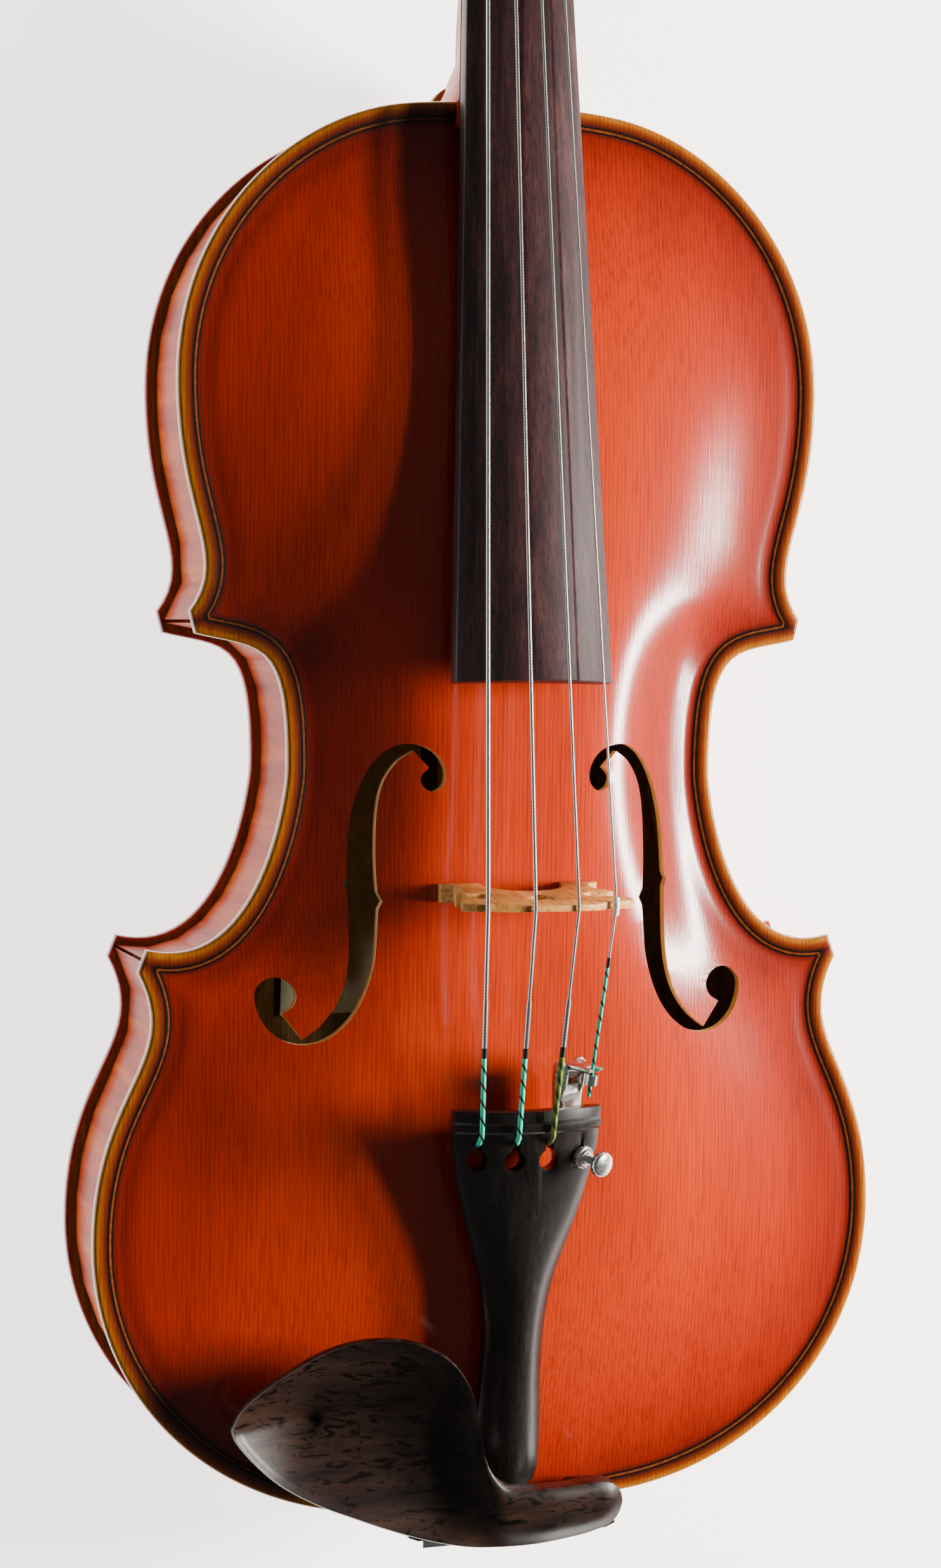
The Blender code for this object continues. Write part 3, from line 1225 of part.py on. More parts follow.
def tail_fittings():
    """Saddle, end button, tail gut and its two nuts."""
    profile = [(0.2, RIB_HEIGHT + SEAT), (0.2, SADDLE_TOP - 1.8), (1.4, SADDLE_TOP - 0.4), (3.4, SADDLE_TOP),
               (6.2, SADDLE_TOP - 0.4), (SADDLE_DEPTH, SADDLE_TOP - 2.2), (SADDLE_DEPTH, RIB_HEIGHT + SEAT)]
    add("saddle", loft([[(x, y, z) for y, z in profile] for x in (-SADDLE_HALF, SADDLE_HALF)]), EBONY)
    profile = [(-BUTTON_PROUD, 3.0), (-BUTTON_PROUD + 1.2, 6.2), (-BUTTON_PROUD + 4.0, BUTTON_HEAD),
               (-7.0, BUTTON_HEAD), (-5.4, 6.8), (-5.0, BUTTON_NECK), (1.2, BUTTON_NECK), (1.6, 6.2),
               (OVERHANG - SEAT, 6.2), (OVERHANG - SEAT, BUTTON_STEM), (OVERHANG + 17.0, BUTTON_STEM - 0.5)]
    add("end_button", turned(profile, (0, 1, 0), (0, 0, BUTTON_Z), 16), EBONY)
    over = SADDLE_TOP + SEAT + GUT_RADIUS
    loop_radius = BUTTON_NECK + SEAT + GUT_RADIUS
    low = tail_surface(tail_half(14.0), 14.0) - TAIL_SIDE
    side = [(GUT_X, 26.0, low + 2.4), (GUT_X, 13.0, low + 1.6), (GUT_X, 6.5, over + 0.1), (GUT_X, 3.4, over),
            (GUT_X, 1.0, over - 0.4), (GUT_X + 0.1, -0.9, over - 2.0), (GUT_X + 0.3, -1.7, over - 4.6),
            (GUT_X + 1.0, -2.1, 34.0), (loop_radius, -2.6, BUTTON_Z + 5.0)]
    arc = []
    for k in range(13):
        angle = -math.pi * k / 12
        arc.append((loop_radius * math.cos(angle), -2.9, BUTTON_Z + loop_radius * math.sin(angle)))
    points = side + arc + [(-x, y, z) for x, y, z in reversed(side)]
    cord("tail_gut", points, NYLON, GUT_RADIUS)
    for sign, hand in ((-1.0, "bass"), (1.0, "treble")):
        collar = sleeve(1.9, GUT_RADIUS + SEAT, 22.0, 25.4, (0, 1, 0), (sign * GUT_X, 0, low + 2.25), 10)
        add(f"tail_gut_nut_{hand}", collar, NICKEL)


tail_fittings()


# Fine tuner of the A string

def tuner_piece(name, bm, origin=None):
    """Puts a piece made in the tuner's frame onto the tailpiece."""
    bmesh.ops.transform(bm, matrix=TUNER, verts=bm.verts)
    return add(name, bm, NICKEL, origin=TUNER @ Vector(origin) if origin else (0.0, 0.0, 0.0))


def knurl(radius, low, high, teeth=16):
    """A disc with a toothed rim and eased edges."""
    rings = []
    for z, ease in ((low, 0.5), (low + 0.4, 0.0), (high - 0.4, 0.0), (high, 0.5)):
        ring = []
        for k in range(teeth * 2):
            reach = radius - ease - (0.25 if k % 2 else 0.0)
            angle = math.pi * k / teeth
            ring.append((reach * math.cos(angle), reach * math.sin(angle), z))
        rings.append(ring)
    return loft(rings)


def fine_tuner():
    """A frame with a threaded tube, a lever on a pin, and a screw that presses the lever's arm."""
    top, low = TUNER_PLATE_Z, TUNER_PLATE_Z - TUNER_PLATE_THICKNESS
    half = TUNER_PLATE_HALF
    frame = tuner_piece("tuner_frame", box((-half, -4.4, low), (half, 20.0, top)))
    for side in (-1.0, 1.0):
        inner, outer = side * (half - TUNER_EAR), side * (half + 0.05)
        edge = [(9.0, top - 0.3), (9.0, low - 1.4), (20.0, -9.6), (25.6, -9.6), (27.4, -8.4), (27.7, -6.4),
                (26.6, -4.6), (24.0, -4.0), (20.0, -4.4), (17.0, top - 0.1)]
        ear = loft([[(x, y, z) for y, z in edge] for x in (inner, outer)])
        bmesh.ops.transform(ear, matrix=TUNER, verts=ear.verts)
        cut(frame, add("ear_guide_" + ("bass" if side < 0 else "treble"), ear), "UNION")
    tube = turned([(low + 0.3, TUNER_TUBE), (2.3, TUNER_TUBE)], (0, 0, 1), (0, 0, 0), 20)
    bmesh.ops.transform(tube, matrix=TUNER, verts=tube.verts)
    cut(frame, add("tuner_tube_guide", tube), "UNION")
    bore = turned([(low - 3.0, TUNER_SCREW + RUNNING), (5.0, TUNER_SCREW + RUNNING)], (0, 0, 1), (0, 0, 0), 16)
    bmesh.ops.transform(bore, matrix=TUNER, verts=bore.verts)
    cut(frame, add("screw_bore_guide", bore))
    pin_bore = turned([(-9.0, PIVOT_RADIUS + RUNNING), (9.0, PIVOT_RADIUS + RUNNING)], (1, 0, 0), (0, PIVOT_Y, PIVOT_Z), 16)
    bmesh.ops.transform(pin_bore, matrix=TUNER, verts=pin_bore.verts)
    pin_guide = add("pin_bore_guide", pin_bore)
    cut(frame, pin_guide)
    pin = turned([(-half - 0.5, PIVOT_RADIUS), (half + 0.5, PIVOT_RADIUS)], (1, 0, 0), (0, PIVOT_Y, PIVOT_Z), 16)
    tuner_piece("tuner_pin", pin)

    arm = LEVER_ARM_Z
    profile = [(-2.4, arm), (-2.4, arm - 1.1), (22.4, arm - 0.9), (24.8, arm - 0.7), (26.6, -8.2), (27.1, -6.5),
               (27.3, -2.0), (27.4, 3.4), (26.7, 4.0), (26.1, 3.2), (25.9, -2.0), (25.0, -4.9), (23.6, -5.2),
               (22.5, -6.3), (22.0, -8.0), (20.0, arm)]
    lever = tuner_piece("tuner_lever", loft([[(x, y, z) for y, z in profile] for x in (-LEVER_HALF, LEVER_HALF)]),
                        origin=(0, PIVOT_Y, PIVOT_Z))
    cut(lever, pin_guide)
    notch = box((HOOK_LOCAL[0] - 1.15, 24.5, 0.9), (HOOK_LOCAL[0] + 1.15, 29.0, 7.0))
    bmesh.ops.transform(notch, matrix=TUNER, verts=notch.verts)
    cut(lever, add("prong_guide", notch))

    ring = tuner_piece("tuner_ring_nut", knurl(TUNER_RING, 0.5, 2.0, 14))
    bore = turned([(-3.0, TUNER_TUBE + SEAT), (5.0, TUNER_TUBE + SEAT)], (0, 0, 1), (0, 0, 0), 20)
    bmesh.ops.transform(bore, matrix=TUNER, verts=bore.verts)
    cut(ring, add("ring_bore_guide", bore))
    tip = LEVER_ARM_Z + SEAT
    screw = turned([(tip, 0.7), (tip + 0.6, TUNER_SCREW), (TUNER_HEAD_Z - SEAT, TUNER_SCREW)], (0, 0, 1), (0, 0, 0), 16)
    tuner_piece("tuner_screw", screw, origin=(0, 0, 0.01))
    head_top = TUNER_HEAD_Z + TUNER_HEAD_THICKNESS
    tuner_piece("tuner_head", knurl(TUNER_HEAD, TUNER_HEAD_Z, head_top), origin=(0, 0, TUNER_HEAD_Z))


fine_tuner()

# Chin rest and its clamp

REST_OUTLINE = (
    (-85.0, 37.5), (-82.1, 43.4), (-76.0, 48.8), (-66.8, 54.8), (-57.7, 59.4), (-48.0, 61.9), (-38.0, 61.9),
    (-30.0, 60.0), (-22.5, 55.7), (-17.6, 49.6), (-15.0, 43.0), (-13.4, 35.5), (-12.2, 28.5), (-9.8, 22.2),
    (-4.9, 17.4), (2.0, 15.8), (10.0, 15.4), (18.0, 15.2), (25.7, 15.5), (30.5, 14.0), (33.2, 9.0), (31.0, 2.6),
    (23.9, -0.3), (12.6, -1.5), (0.0, -1.9), (-12.4, -1.1), (-24.7, 1.2), (-37.3, 5.0), (-49.7, 9.8),
    (-60.0, 14.2), (-69.9, 19.9), (-77.4, 26.4), (-83.4, 33.4),
)
REST_TIP = 20
REST_HALF_POINTS = 23
REST_SPINE = np.array([(23.0, 7.5), (8.0, 6.6), (-8.0, 9.0), (-24.0, 20.0), (-42.0, 34.0), (-58.0, 37.5)])


def rest_rim(x, y):
    """Height of the chin rest's upper edge."""
    if x < -13.0:
        return 60.4 + 0.125 * (x + 85.0) - 0.10 * max(0.0, 30.0 - y)
    return 68.5 - 0.16 * max(0.0, x - 6.0) - 0.35 * max(0.0, 8.0 - y)


def chin_rest():
    """A shallow cup beside the tailpiece and a thick bar over its end, in one piece of ebony."""
    turn = REST_TIP + 1
    upper = resample(REST_OUTLINE[:turn], count=REST_HALF_POINTS)
    lower = resample(REST_OUTLINE[REST_TIP:] + REST_OUTLINE[:1], count=REST_HALF_POINTS)
    rim = np.vstack([upper[:-1], lower[:-1]])
    dense = resample(REST_SPINE, count=60)
    gaps = np.linalg.norm(rim[:, None] - dense[None], axis=2)
    spine = dense[gaps.argmin(axis=1)]
    bar = np.clip((spine[:, 0] + 26.0) / 22.0, 0.0, 1.0)
    bar = bar * bar * (3.0 - 2.0 * bar)
    edge = np.array([rest_rim(x, y) for x, y in rim])
    rings = []
    for share, level in ((0.93, "under"), (0.5, "under"), (0.12, "under"), (0.0, "side_low"), (0.0, "side_top"),
                         (0.1, "top"), (0.35, "top"), (0.65, "top"), (0.93, "top")):
        points = rim + (spine - rim) * share
        cup = edge - REST_CUP * math.sin(math.pi / 2 * share)
        crown = edge + 2.6 * math.sin(math.pi / 2 * min(1.0, share * 1.3))
        top = cup * (1.0 - bar) + crown * bar
        if level == "top":
            heights = top
        elif level == "side_top":
            heights = edge - 0.6
        elif level == "side_low":
            heights = edge - REST_RIM - (REST_BAR - REST_RIM - 4.5) * bar
        else:
            thick = REST_PLATE * (1.0 - bar) + (REST_BAR + 0.5) * bar
            heights = np.minimum(top - thick, edge - REST_RIM - 0.4)
            heights = np.where(bar > 0.5, 58.2 + 3.4 * np.clip(1.5 - abs(points[:, 0]) / 12.0, 0.0, 1.0), heights)
        rings.append([(x, y, z) for (x, y), z in zip(points, heights)])
    piece = add("chin_rest", loft(rings, paired=True), EBONY)
    leg_low = RIB_HEIGHT + EDGE + SEAT + CORK + SEAT
    for number, (x0, x1) in enumerate(REST_LEGS):
        outline = [(x0, 1.4), (x0 + 3.0, 0.2), (x1 - 3.0, 0.2), (x1, 1.4), (x1, 9.0), (x1 - 3.0, 11.5),
                   (x0 + 3.0, 11.5), (x0, 9.0)]
        cut(piece, add(f"leg_guide_{number}", prism(outline, leg_low, 61.5)), "UNION")
    low = RIB_HEIGHT + EDGE + SEAT
    for hand, (x0, x1) in zip(("bass", "treble"), REST_LEGS):
        add(f"chin_rest_cork_{hand}", box((x0 + 1.0, 1.8, low), (x1 - 1.0, 8.6, low + CORK)), CORK_FINISH)


def clamp():
    """A bracket under the rest and a foot under the back, drawn together by two barrels."""
    bracket_low = RIB_HEIGHT + EDGE + 1.2
    bar_y = (ROD_Y - 1.4, ROD_Y + 1.0)
    bm = box((-ROD_X - 4.0, bar_y[0], bracket_low), (ROD_X + 4.0, bar_y[1], bracket_low + CLAMP_METAL))
    bracket = add("clamp_bracket", bm, NICKEL)
    foot_high = -EDGE - SEAT - CORK - SEAT
    bm = box((-ROD_X - 4.0, ROD_Y - 1.4, foot_high - CLAMP_METAL), (ROD_X + 4.0, 8.0, foot_high))
    foot = add("clamp_foot", bm, NICKEL, origin=(0.0, ROD_Y, foot_high))
    add("clamp_foot_cork", box((-ROD_X - 3.0, 1.0, foot_high + SEAT), (ROD_X + 3.0, 7.6, foot_high + SEAT + CORK)),
        CORK_FINISH, origin=(0.0, ROD_Y, foot_high))
    for side, hand in ((-1.0, "bass"), (1.0, "treble")):
        x = side * ROD_X
        upper = turned([(BARREL_HIGH - 8.0, ROD_RADIUS), (bracket_low + 0.5, ROD_RADIUS)], (0, 0, 1), (x, ROD_Y, 0), 12)
        cut(bracket, add(f"upper_rod_guide_{hand}", upper), "UNION")
        low, high = sorted((side * (SADDLE_HALF + 1.0), x + side * 3.8))
        tab = box((low, bar_y[1] - 0.6, bracket_low + 0.1), (high, 1.2, bracket_low + CLAMP_METAL - 0.2))
        cut(bracket, add(f"tab_guide_{hand}", tab), "UNION")
        lower = turned([(foot_high - 0.5, ROD_RADIUS), (BARREL_LOW + 8.0, ROD_RADIUS)], (0, 0, 1), (x, ROD_Y, 0), 12)
        cut(foot, add(f"lower_rod_guide_{hand}", lower), "UNION")
        barrel = sleeve(BARREL_RADIUS, ROD_RADIUS + RUNNING, BARREL_LOW, BARREL_HIGH, (0, 0, 1), (x, ROD_Y, 0), 16)
        add(f"clamp_barrel_{hand}", barrel, NICKEL, origin=(x, ROD_Y, (BARREL_LOW + BARREL_HIGH) / 2))


chin_rest()
clamp()
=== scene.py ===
import json
import math

import bmesh
import bpy
import numpy as np
from mathutils import Matrix, Vector


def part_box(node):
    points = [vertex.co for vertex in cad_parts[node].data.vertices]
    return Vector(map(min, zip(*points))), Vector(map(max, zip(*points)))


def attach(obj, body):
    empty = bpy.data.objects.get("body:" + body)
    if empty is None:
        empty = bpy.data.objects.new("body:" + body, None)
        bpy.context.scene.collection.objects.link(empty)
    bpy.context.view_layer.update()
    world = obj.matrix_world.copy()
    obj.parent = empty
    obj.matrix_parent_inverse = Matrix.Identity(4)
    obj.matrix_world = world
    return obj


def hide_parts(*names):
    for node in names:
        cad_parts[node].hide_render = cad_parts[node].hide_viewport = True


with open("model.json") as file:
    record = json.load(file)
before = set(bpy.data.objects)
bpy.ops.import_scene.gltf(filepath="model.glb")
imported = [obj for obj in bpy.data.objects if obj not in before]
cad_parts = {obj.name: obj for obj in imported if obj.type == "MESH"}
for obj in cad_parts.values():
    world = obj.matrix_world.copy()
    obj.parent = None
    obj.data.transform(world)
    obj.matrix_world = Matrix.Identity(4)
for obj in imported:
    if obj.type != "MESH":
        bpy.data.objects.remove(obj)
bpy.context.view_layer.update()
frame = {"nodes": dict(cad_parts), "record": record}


# Place on the bench
# The viola lies on its back. Sizes are millimetres from the body's lower edge (y), from the centre joint
# towards the treble side (x), and from the face of the back that the ribs are glued to (z).

MM = 0.001
RIB_HEIGHT = 39.0
EDGE_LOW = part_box("back_plate")[0].y
GLUE_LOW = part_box("lower_rib_bass")[0].z - 0.3 * MM


def spot(x, y, z):
    """A place on the viola, in metres."""
    return Vector((x * MM, y * MM + EDGE_LOW, z * MM + GLUE_LOW))


# Camera
# One camera stands over the bass side and looks down at the body, so the head is outside the picture.

camera_data = bpy.data.cameras.new("bench_view")
camera_data.lens = 65.68
camera_data.clip_start = 0.05
camera = bpy.data.objects.new("bench_view", camera_data)
CAMERA_TURNS = ((-0.325, "Y"), (-0.0524, "X"), (0.013, "Z"))
camera_turn = Matrix.Identity(4)
for angle, axis in CAMERA_TURNS:
    camera_turn = camera_turn @ Matrix.Rotation(angle, 4, axis)
camera.matrix_world = Matrix.Translation(spot(-278.59, 264.02, 839.24)) @ camera_turn
bpy.context.scene.collection.objects.link(camera)
bpy.context.scene.camera = camera


# Bench and studio light
# A white sweep lit from below as on a light table, one soft lamp low on the treble side, a narrow strip above
# it that draws the bright line on the varnish, and a dim pale room.

def linear(code):
    """An sRGB hex colour as linear values with alpha."""
    values = [int(code[i:i + 2], 16) / 255 for i in (1, 3, 5)]
    return tuple(v / 12.92 if v <= 0.04045 else ((v + 0.055) / 1.055) ** 2.4 for v in values) + (1.0,)


def add_node(tree, kind, sockets=None, **settings):
    """Adds one node, sets it up, and fills or links its sockets."""
    made = tree.nodes.new(kind)
    for name, value in settings.items():
        setattr(made, name, value)
    for name, value in (sockets or {}).items():
        if isinstance(value, bpy.types.NodeSocket):
            tree.links.new(value, made.inputs[name])
        else:
            made.inputs[name].default_value = value
    return made


def finish(name, roughness, metallic=0.0, coat=0.0, coat_roughness=0.1, ior=1.5, specular=0.5):
    """A new material with its constant values on the shader's own sockets."""
    material = bpy.data.materials.new(name)
    material.use_nodes = True
    shader = material.node_tree.nodes["Principled BSDF"]
    values = {"Roughness": roughness, "Metallic": metallic, "Coat Weight": coat, "Coat Roughness": coat_roughness,
              "IOR": ior, "Specular IOR Level": specular}
    for socket, value in values.items():
        shader.inputs[socket].default_value = value
    return material, material.node_tree, shader


def lamp(name, place, target, width, height, power, tint, mirrored=True):
    """A rectangular soft lamp that faces its target; its own reflection may be held back, as by a polariser."""
    data = bpy.data.lights.new(name, "AREA")
    data.shape = "RECTANGLE"
    data.size = width
    data.size_y = height
    data.energy = power
    data.color = linear(tint)[:3]
    item = bpy.data.objects.new(name, data)
    item.location = place
    item.rotation_euler = (Vector(target) - Vector(place)).to_track_quat("-Z", "Y").to_euler()
    item.visible_glossy = mirrored
    bpy.context.scene.collection.objects.link(item)


lamp("low_window_treble_side", (1.5, -0.1, 0.62), (0.0, -0.12, 0.05), 0.6, 0.24, 110.0, "#FFF6EA",
     mirrored=False)
lamp("strip_lamp_treble_side", (1.12, -0.04, 0.76), (0.0, -0.12, 0.05), 0.5, 0.09, 22.0, "#FFFDF8")

world = bpy.data.worlds.new("pale_room")
bpy.context.scene.world = world
world.use_nodes = True
room = world.node_tree.nodes["Background"]
room.inputs["Color"].default_value = linear("#F6F6F4")
room.inputs["Strength"].default_value = 0.1

bm = bmesh.new()
bmesh.ops.create_grid(bm, x_segments=1, y_segments=1, size=40.0)
floor_mesh = bpy.data.meshes.new("floor")
bm.to_mesh(floor_mesh)
bm.free()
floor = bpy.data.objects.new("floor", floor_mesh)
bpy.context.scene.collection.objects.link(floor)
# Matt white paper sweep: hides the horizon and bounces light onto the ribs.
paper_sweep, tree, shader = finish("white_paper_sweep", 0.9)
place = add_node(tree, "ShaderNodeTexCoord").outputs["Object"]
fibre = add_node(tree, "ShaderNodeTexNoise", {"Vector": place, "Scale": 60.0, "Detail": 3.0})
tone = add_node(tree, "ShaderNodeMix", {"Factor": fibre.outputs["Fac"], "A": linear("#F4F4F2"), "B": linear("#F8F8F7")},
                data_type="RGBA")
FLAT_A, FLAT_B = 6, 7
for index, code in ((FLAT_A, "#F4F4F2"), (FLAT_B, "#F8F8F7")):
    tone.inputs[index].default_value = linear(code)
tree.links.new(tone.outputs[2], shader.inputs["Base Color"])
shader.inputs["Emission Color"].default_value = linear("#FFFFFF")
shader.inputs["Emission Strength"].default_value = 2.6
floor_mesh.materials.append(paper_sweep)


# Belly and back
# Two plates carved from spruce and maple, with rounded edges and a shallow channel before the arch rises.
# Both carry the same outline; the belly has the f-holes, the saddle's notch and the neck's mortise.

EDGE = 4.2
EDGE_ROUND = 1.1
PLATE_THICKNESS = 3.0
BELLY_ARCH = 18.1
BACK_ARCH = 17.0
CHANNEL_DEPTH = 0.6
CHANNEL_INSET = 7.0
GLUE_MARGIN = 8.5
SPINE_LOW, SPINE_HIGH = 120.0, 300.0
SPINE_DROP = 1.5
UPPER_BOUT = ((0.0, 418.5), (13.4, 418.5), (29.0, 417.9), (38.2, 415.7), (69.0, 408.6), (98.9, 378.6),
              (98.9, 336.5), (98.9, 296.7), (82.8, 285.6), (94.9, 269.6))
CENTRE_BOUT = ((93.2, 263.2), (74.1, 258.8), (65.8, 263.3), (65.8, 223.9), (65.8, 218.7), (72.5, 164.1),
               (106.6, 173.0))
LOWER_BOUT = ((109.1, 166.5), (95.1, 140.2), (121.6, 134.3), (121.6, 88.8), (121.6, 45.2), (87.8, 10.3),
              (41.7, 5.0), (27.9, 3.4), (14.6, 0.0), (0.0, 0.0))


def even(line, spacing=None, count=None):
    """A line with even steps along its length."""
    line = np.asarray(line, dtype=float)
    run = np.concatenate([[0.0], np.cumsum(np.linalg.norm(np.diff(line, axis=0), axis=1))])
    marks = np.linspace(0.0, run[-1], count or max(2, round(run[-1] / spacing) + 1))
    return np.stack([np.interp(marks, run, line[:, k]) for k in range(line.shape[1])], axis=1)


def bout(knots, spacing):
    """One bout's curve, through every third of its knots."""
    points = []
    for i in range(0, len(knots) - 1, 3):
        t = np.linspace(0.0, 1.0, 41)[:, None]
        a, b, c, d = np.array(knots[i:i + 4], dtype=float)
        points.append((1 - t) ** 3 * a + 3 * (1 - t) ** 2 * t * b + 3 * (1 - t) * t ** 2 * c + t ** 3 * d)
    return even(np.vstack(points), spacing)


def half_outline(spacing):
    """The treble half of the outline."""
    return np.vstack([bout(knots, spacing) for knots in (UPPER_BOUT, CENTRE_BOUT, LOWER_BOUT)])


def joined(first, second):
    """Two neighbouring lines, drawn on or cut back to where they cross, or None."""
    ahead = first[-1] - first[-2]
    behind = second[0] - second[1]
    first = np.vstack([first, first[-1] + ahead / np.linalg.norm(ahead) * 40.0])
    second = np.vstack([second[0] + behind / np.linalg.norm(behind) * 40.0, second])
    one, other = np.diff(first, axis=0)[:, None], np.diff(second, axis=0)[None]
    gap = second[None, :-1] - first[:-1, None]
    turn = one[..., 0] * other[..., 1] - one[..., 1] * other[..., 0]
    turn = np.where(abs(turn) < 1e-12, 1e-12, turn)
    s = (gap[..., 0] * other[..., 1] - gap[..., 1] * other[..., 0]) / turn
    t = (gap[..., 0] * one[..., 1] - gap[..., 1] * one[..., 0]) / turn
    near = 1e-6
    hits = np.argwhere((s > -near) & (s < 1 + near) & (t > -near) & (t < 1 + near))
    if not len(hits):
        return None
    i, j = hits[np.argmax(hits[:, 0] - hits[:, 1])]
    place = first[i] + s[i, j] * one[i, 0]
    return np.vstack([first[:i + 1], place]), np.vstack([place, second[j + 1:]])


def moved(line, distance):
    """A line moved inwards by a distance."""
    step = np.gradient(line, axis=0)
    step /= np.linalg.norm(step, axis=1)[:, None]
    return line + np.stack([step[:, 1], -step[:, 0]], axis=1) * distance


RING_COUNTS = (64, 3, 44, 3, 82)


def outline_ring(inset):
    """The whole outline moved inwards, its corners kept sharp, always with the same count of points."""
    upper, centre, lower = (bout(knots, 0.8) for knots in (UPPER_BOUT, CENTRE_BOUT, LOWER_BOUT))
    lines = [moved(upper, inset), moved(np.array([upper[-1], centre[0]]), inset), moved(centre, inset),
             moved(np.array([centre[-1], lower[0]]), inset), moved(lower, inset)]
    for n in (0, 2):
        first, end, second = lines[n:n + 3]
        across = end[1] - end[0]
        inwards = np.array([across[1], -across[0]])
        mitre = joined(first, second)
        if mitre and (mitre[0][-1] - end[0]) @ inwards > 0.0:
            lines[n:n + 3] = mitre[0], mitre[0][[-1, -1]], mitre[1]
        else:
            cut_first, end_start = joined(first, end)
            end_stop, cut_second = joined(end, second)
            lines[n:n + 3] = cut_first, np.array([end_start[0], end_stop[-1]]), cut_second
    parts = []
    for line, count in zip(lines, RING_COUNTS):
        parts.append(even(line, count=count)[:-1] if np.ptp(line, axis=0).max() > 1e-9 else line[[0] * (count - 1)])
    right = np.vstack(parts + [lines[-1][-1:]])
    right[[0, -1], 0] = 0.0
    return np.vstack([right, (right[1:-1] * [-1.0, 1.0])[::-1]])


FINE = even(half_outline(1.0), 1.6)
FINE_LOOP = np.vstack([FINE, (FINE * [-1.0, 1.0])[::-1]])
FINE_STEP = np.linalg.norm(np.roll(FINE_LOOP, -1, axis=0) - FINE_LOOP, axis=1)


def from_edge(points):
    """A smooth measure of how far points lie inside the outline."""
    total = np.zeros(len(points))
    for centre, step in zip(FINE_LOOP, FINE_STEP):
        total += step / (((points - centre) ** 2).sum(axis=1) + 0.5) ** 2
    return (2.0 / math.pi * total) ** (-1.0 / 3.0)


def arch(points, crown):
    """Height of a plate's outer face over its glue face."""
    points = np.atleast_2d(np.asarray(points, dtype=float))
    inside = from_edge(points)
    near = np.clip(points[:, 1], SPINE_LOW, SPINE_HIGH)
    from_spine = np.hypot(points[:, 0], points[:, 1] - near)
    share = from_spine / (from_spine + np.maximum(inside - CHANNEL_INSET + 1.0, 0.0) + 1e-9)
    middle = (SPINE_LOW + SPINE_HIGH) / 2
    ridge = crown - SPINE_DROP * ((near - middle) / (SPINE_HIGH - middle)) ** 2
    channel = CHANNEL_DEPTH * np.exp(-((inside - CHANNEL_INSET) / 3.0) ** 2)
    return EDGE - channel + (ridge - EDGE) * np.cos(math.pi / 2 * share ** 1.7) ** 2


def hollow(points, crown):
    """Height of a plate's inner face over its glue face."""
    depth = np.maximum(arch(points, crown) - PLATE_THICKNESS, 0.0)
    clear = np.clip((from_edge(points) - GLUE_MARGIN) / 6.0, 0.0, 1.0)
    return depth * clear * clear * (3.0 - 2.0 * clear)


def first_loop(bm, places):
    """A closed loop of edges at the given places."""
    loop = bmesh.ops.create_circle(bm, segments=len(places), radius=MM)["verts"]
    for vert, place in zip(loop, places):
        vert.co = place
    return loop


def grow(bm, loop, places):
    """Extrudes a loop of edges and moves the new loop to its places."""
    count = len(loop)
    edges = [bm.edges.get((loop[i], loop[(i + 1) % count])) for i in range(count)]
    made = bmesh.ops.extrude_edge_only(bm, edges=edges)["geom"]
    fresh = {item for item in made if isinstance(item, bmesh.types.BMVert)}
    after = []
    for vert, place in zip(loop, places):
        partner = next(e.other_vert(vert) for e in vert.link_edges if e.other_vert(vert) in fresh)
        partner.co = place
        after.append(partner)
    return after


def cap(bm, loop):
    """Closes a loop of edges with one face."""
    count = len(loop)
    bmesh.ops.edgeloop_fill(bm, edges=[bm.edges.get((loop[i], loop[(i + 1) % count])) for i in range(count)])


def piece_from(bm, name, *materials, sharp=35.0):
    """Makes a finished, smooth-shaded piece of a bmesh."""
    bmesh.ops.recalc_face_normals(bm, faces=bm.faces)
    if bm.calc_volume(signed=True) < 0.0:
        bmesh.ops.reverse_faces(bm, faces=bm.faces)
    mesh = bpy.data.meshes.new(name)
    bm.to_mesh(mesh)
    bm.free()
    mesh.shade_smooth()
    mesh.set_sharp_from_angle(angle=math.radians(sharp))
    for material in materials:
        mesh.materials.append(material)
    piece = bpy.data.objects.new(name, mesh)
    bpy.context.scene.collection.objects.link(piece)
    return piece


def carve(piece, cutter, operation="DIFFERENCE"):
    """Cuts a piece with a tool shape, or joins them, and clears the tool away."""
    step = piece.modifiers.new("carve", "BOOLEAN")
    step.operation = operation
    step.solver = "EXACT"
    step.object = cutter
    graph = bpy.context.evaluated_depsgraph_get()
    carved = bpy.data.meshes.new_from_object(piece.evaluated_get(graph))
    piece.modifiers.clear()
    piece.data = carved
    bpy.data.objects.remove(cutter, do_unlink=True)


def block(outline, low, high, name="tool"):
    """A tool shape with straight sides."""
    bm = bmesh.new()
    loop = first_loop(bm, [spot(x, y, low) for x, y in outline])
    after = grow(bm, loop, [spot(x, y, high) for x, y in outline])
    cap(bm, loop)
    cap(bm, after)
    return piece_from(bm, name)


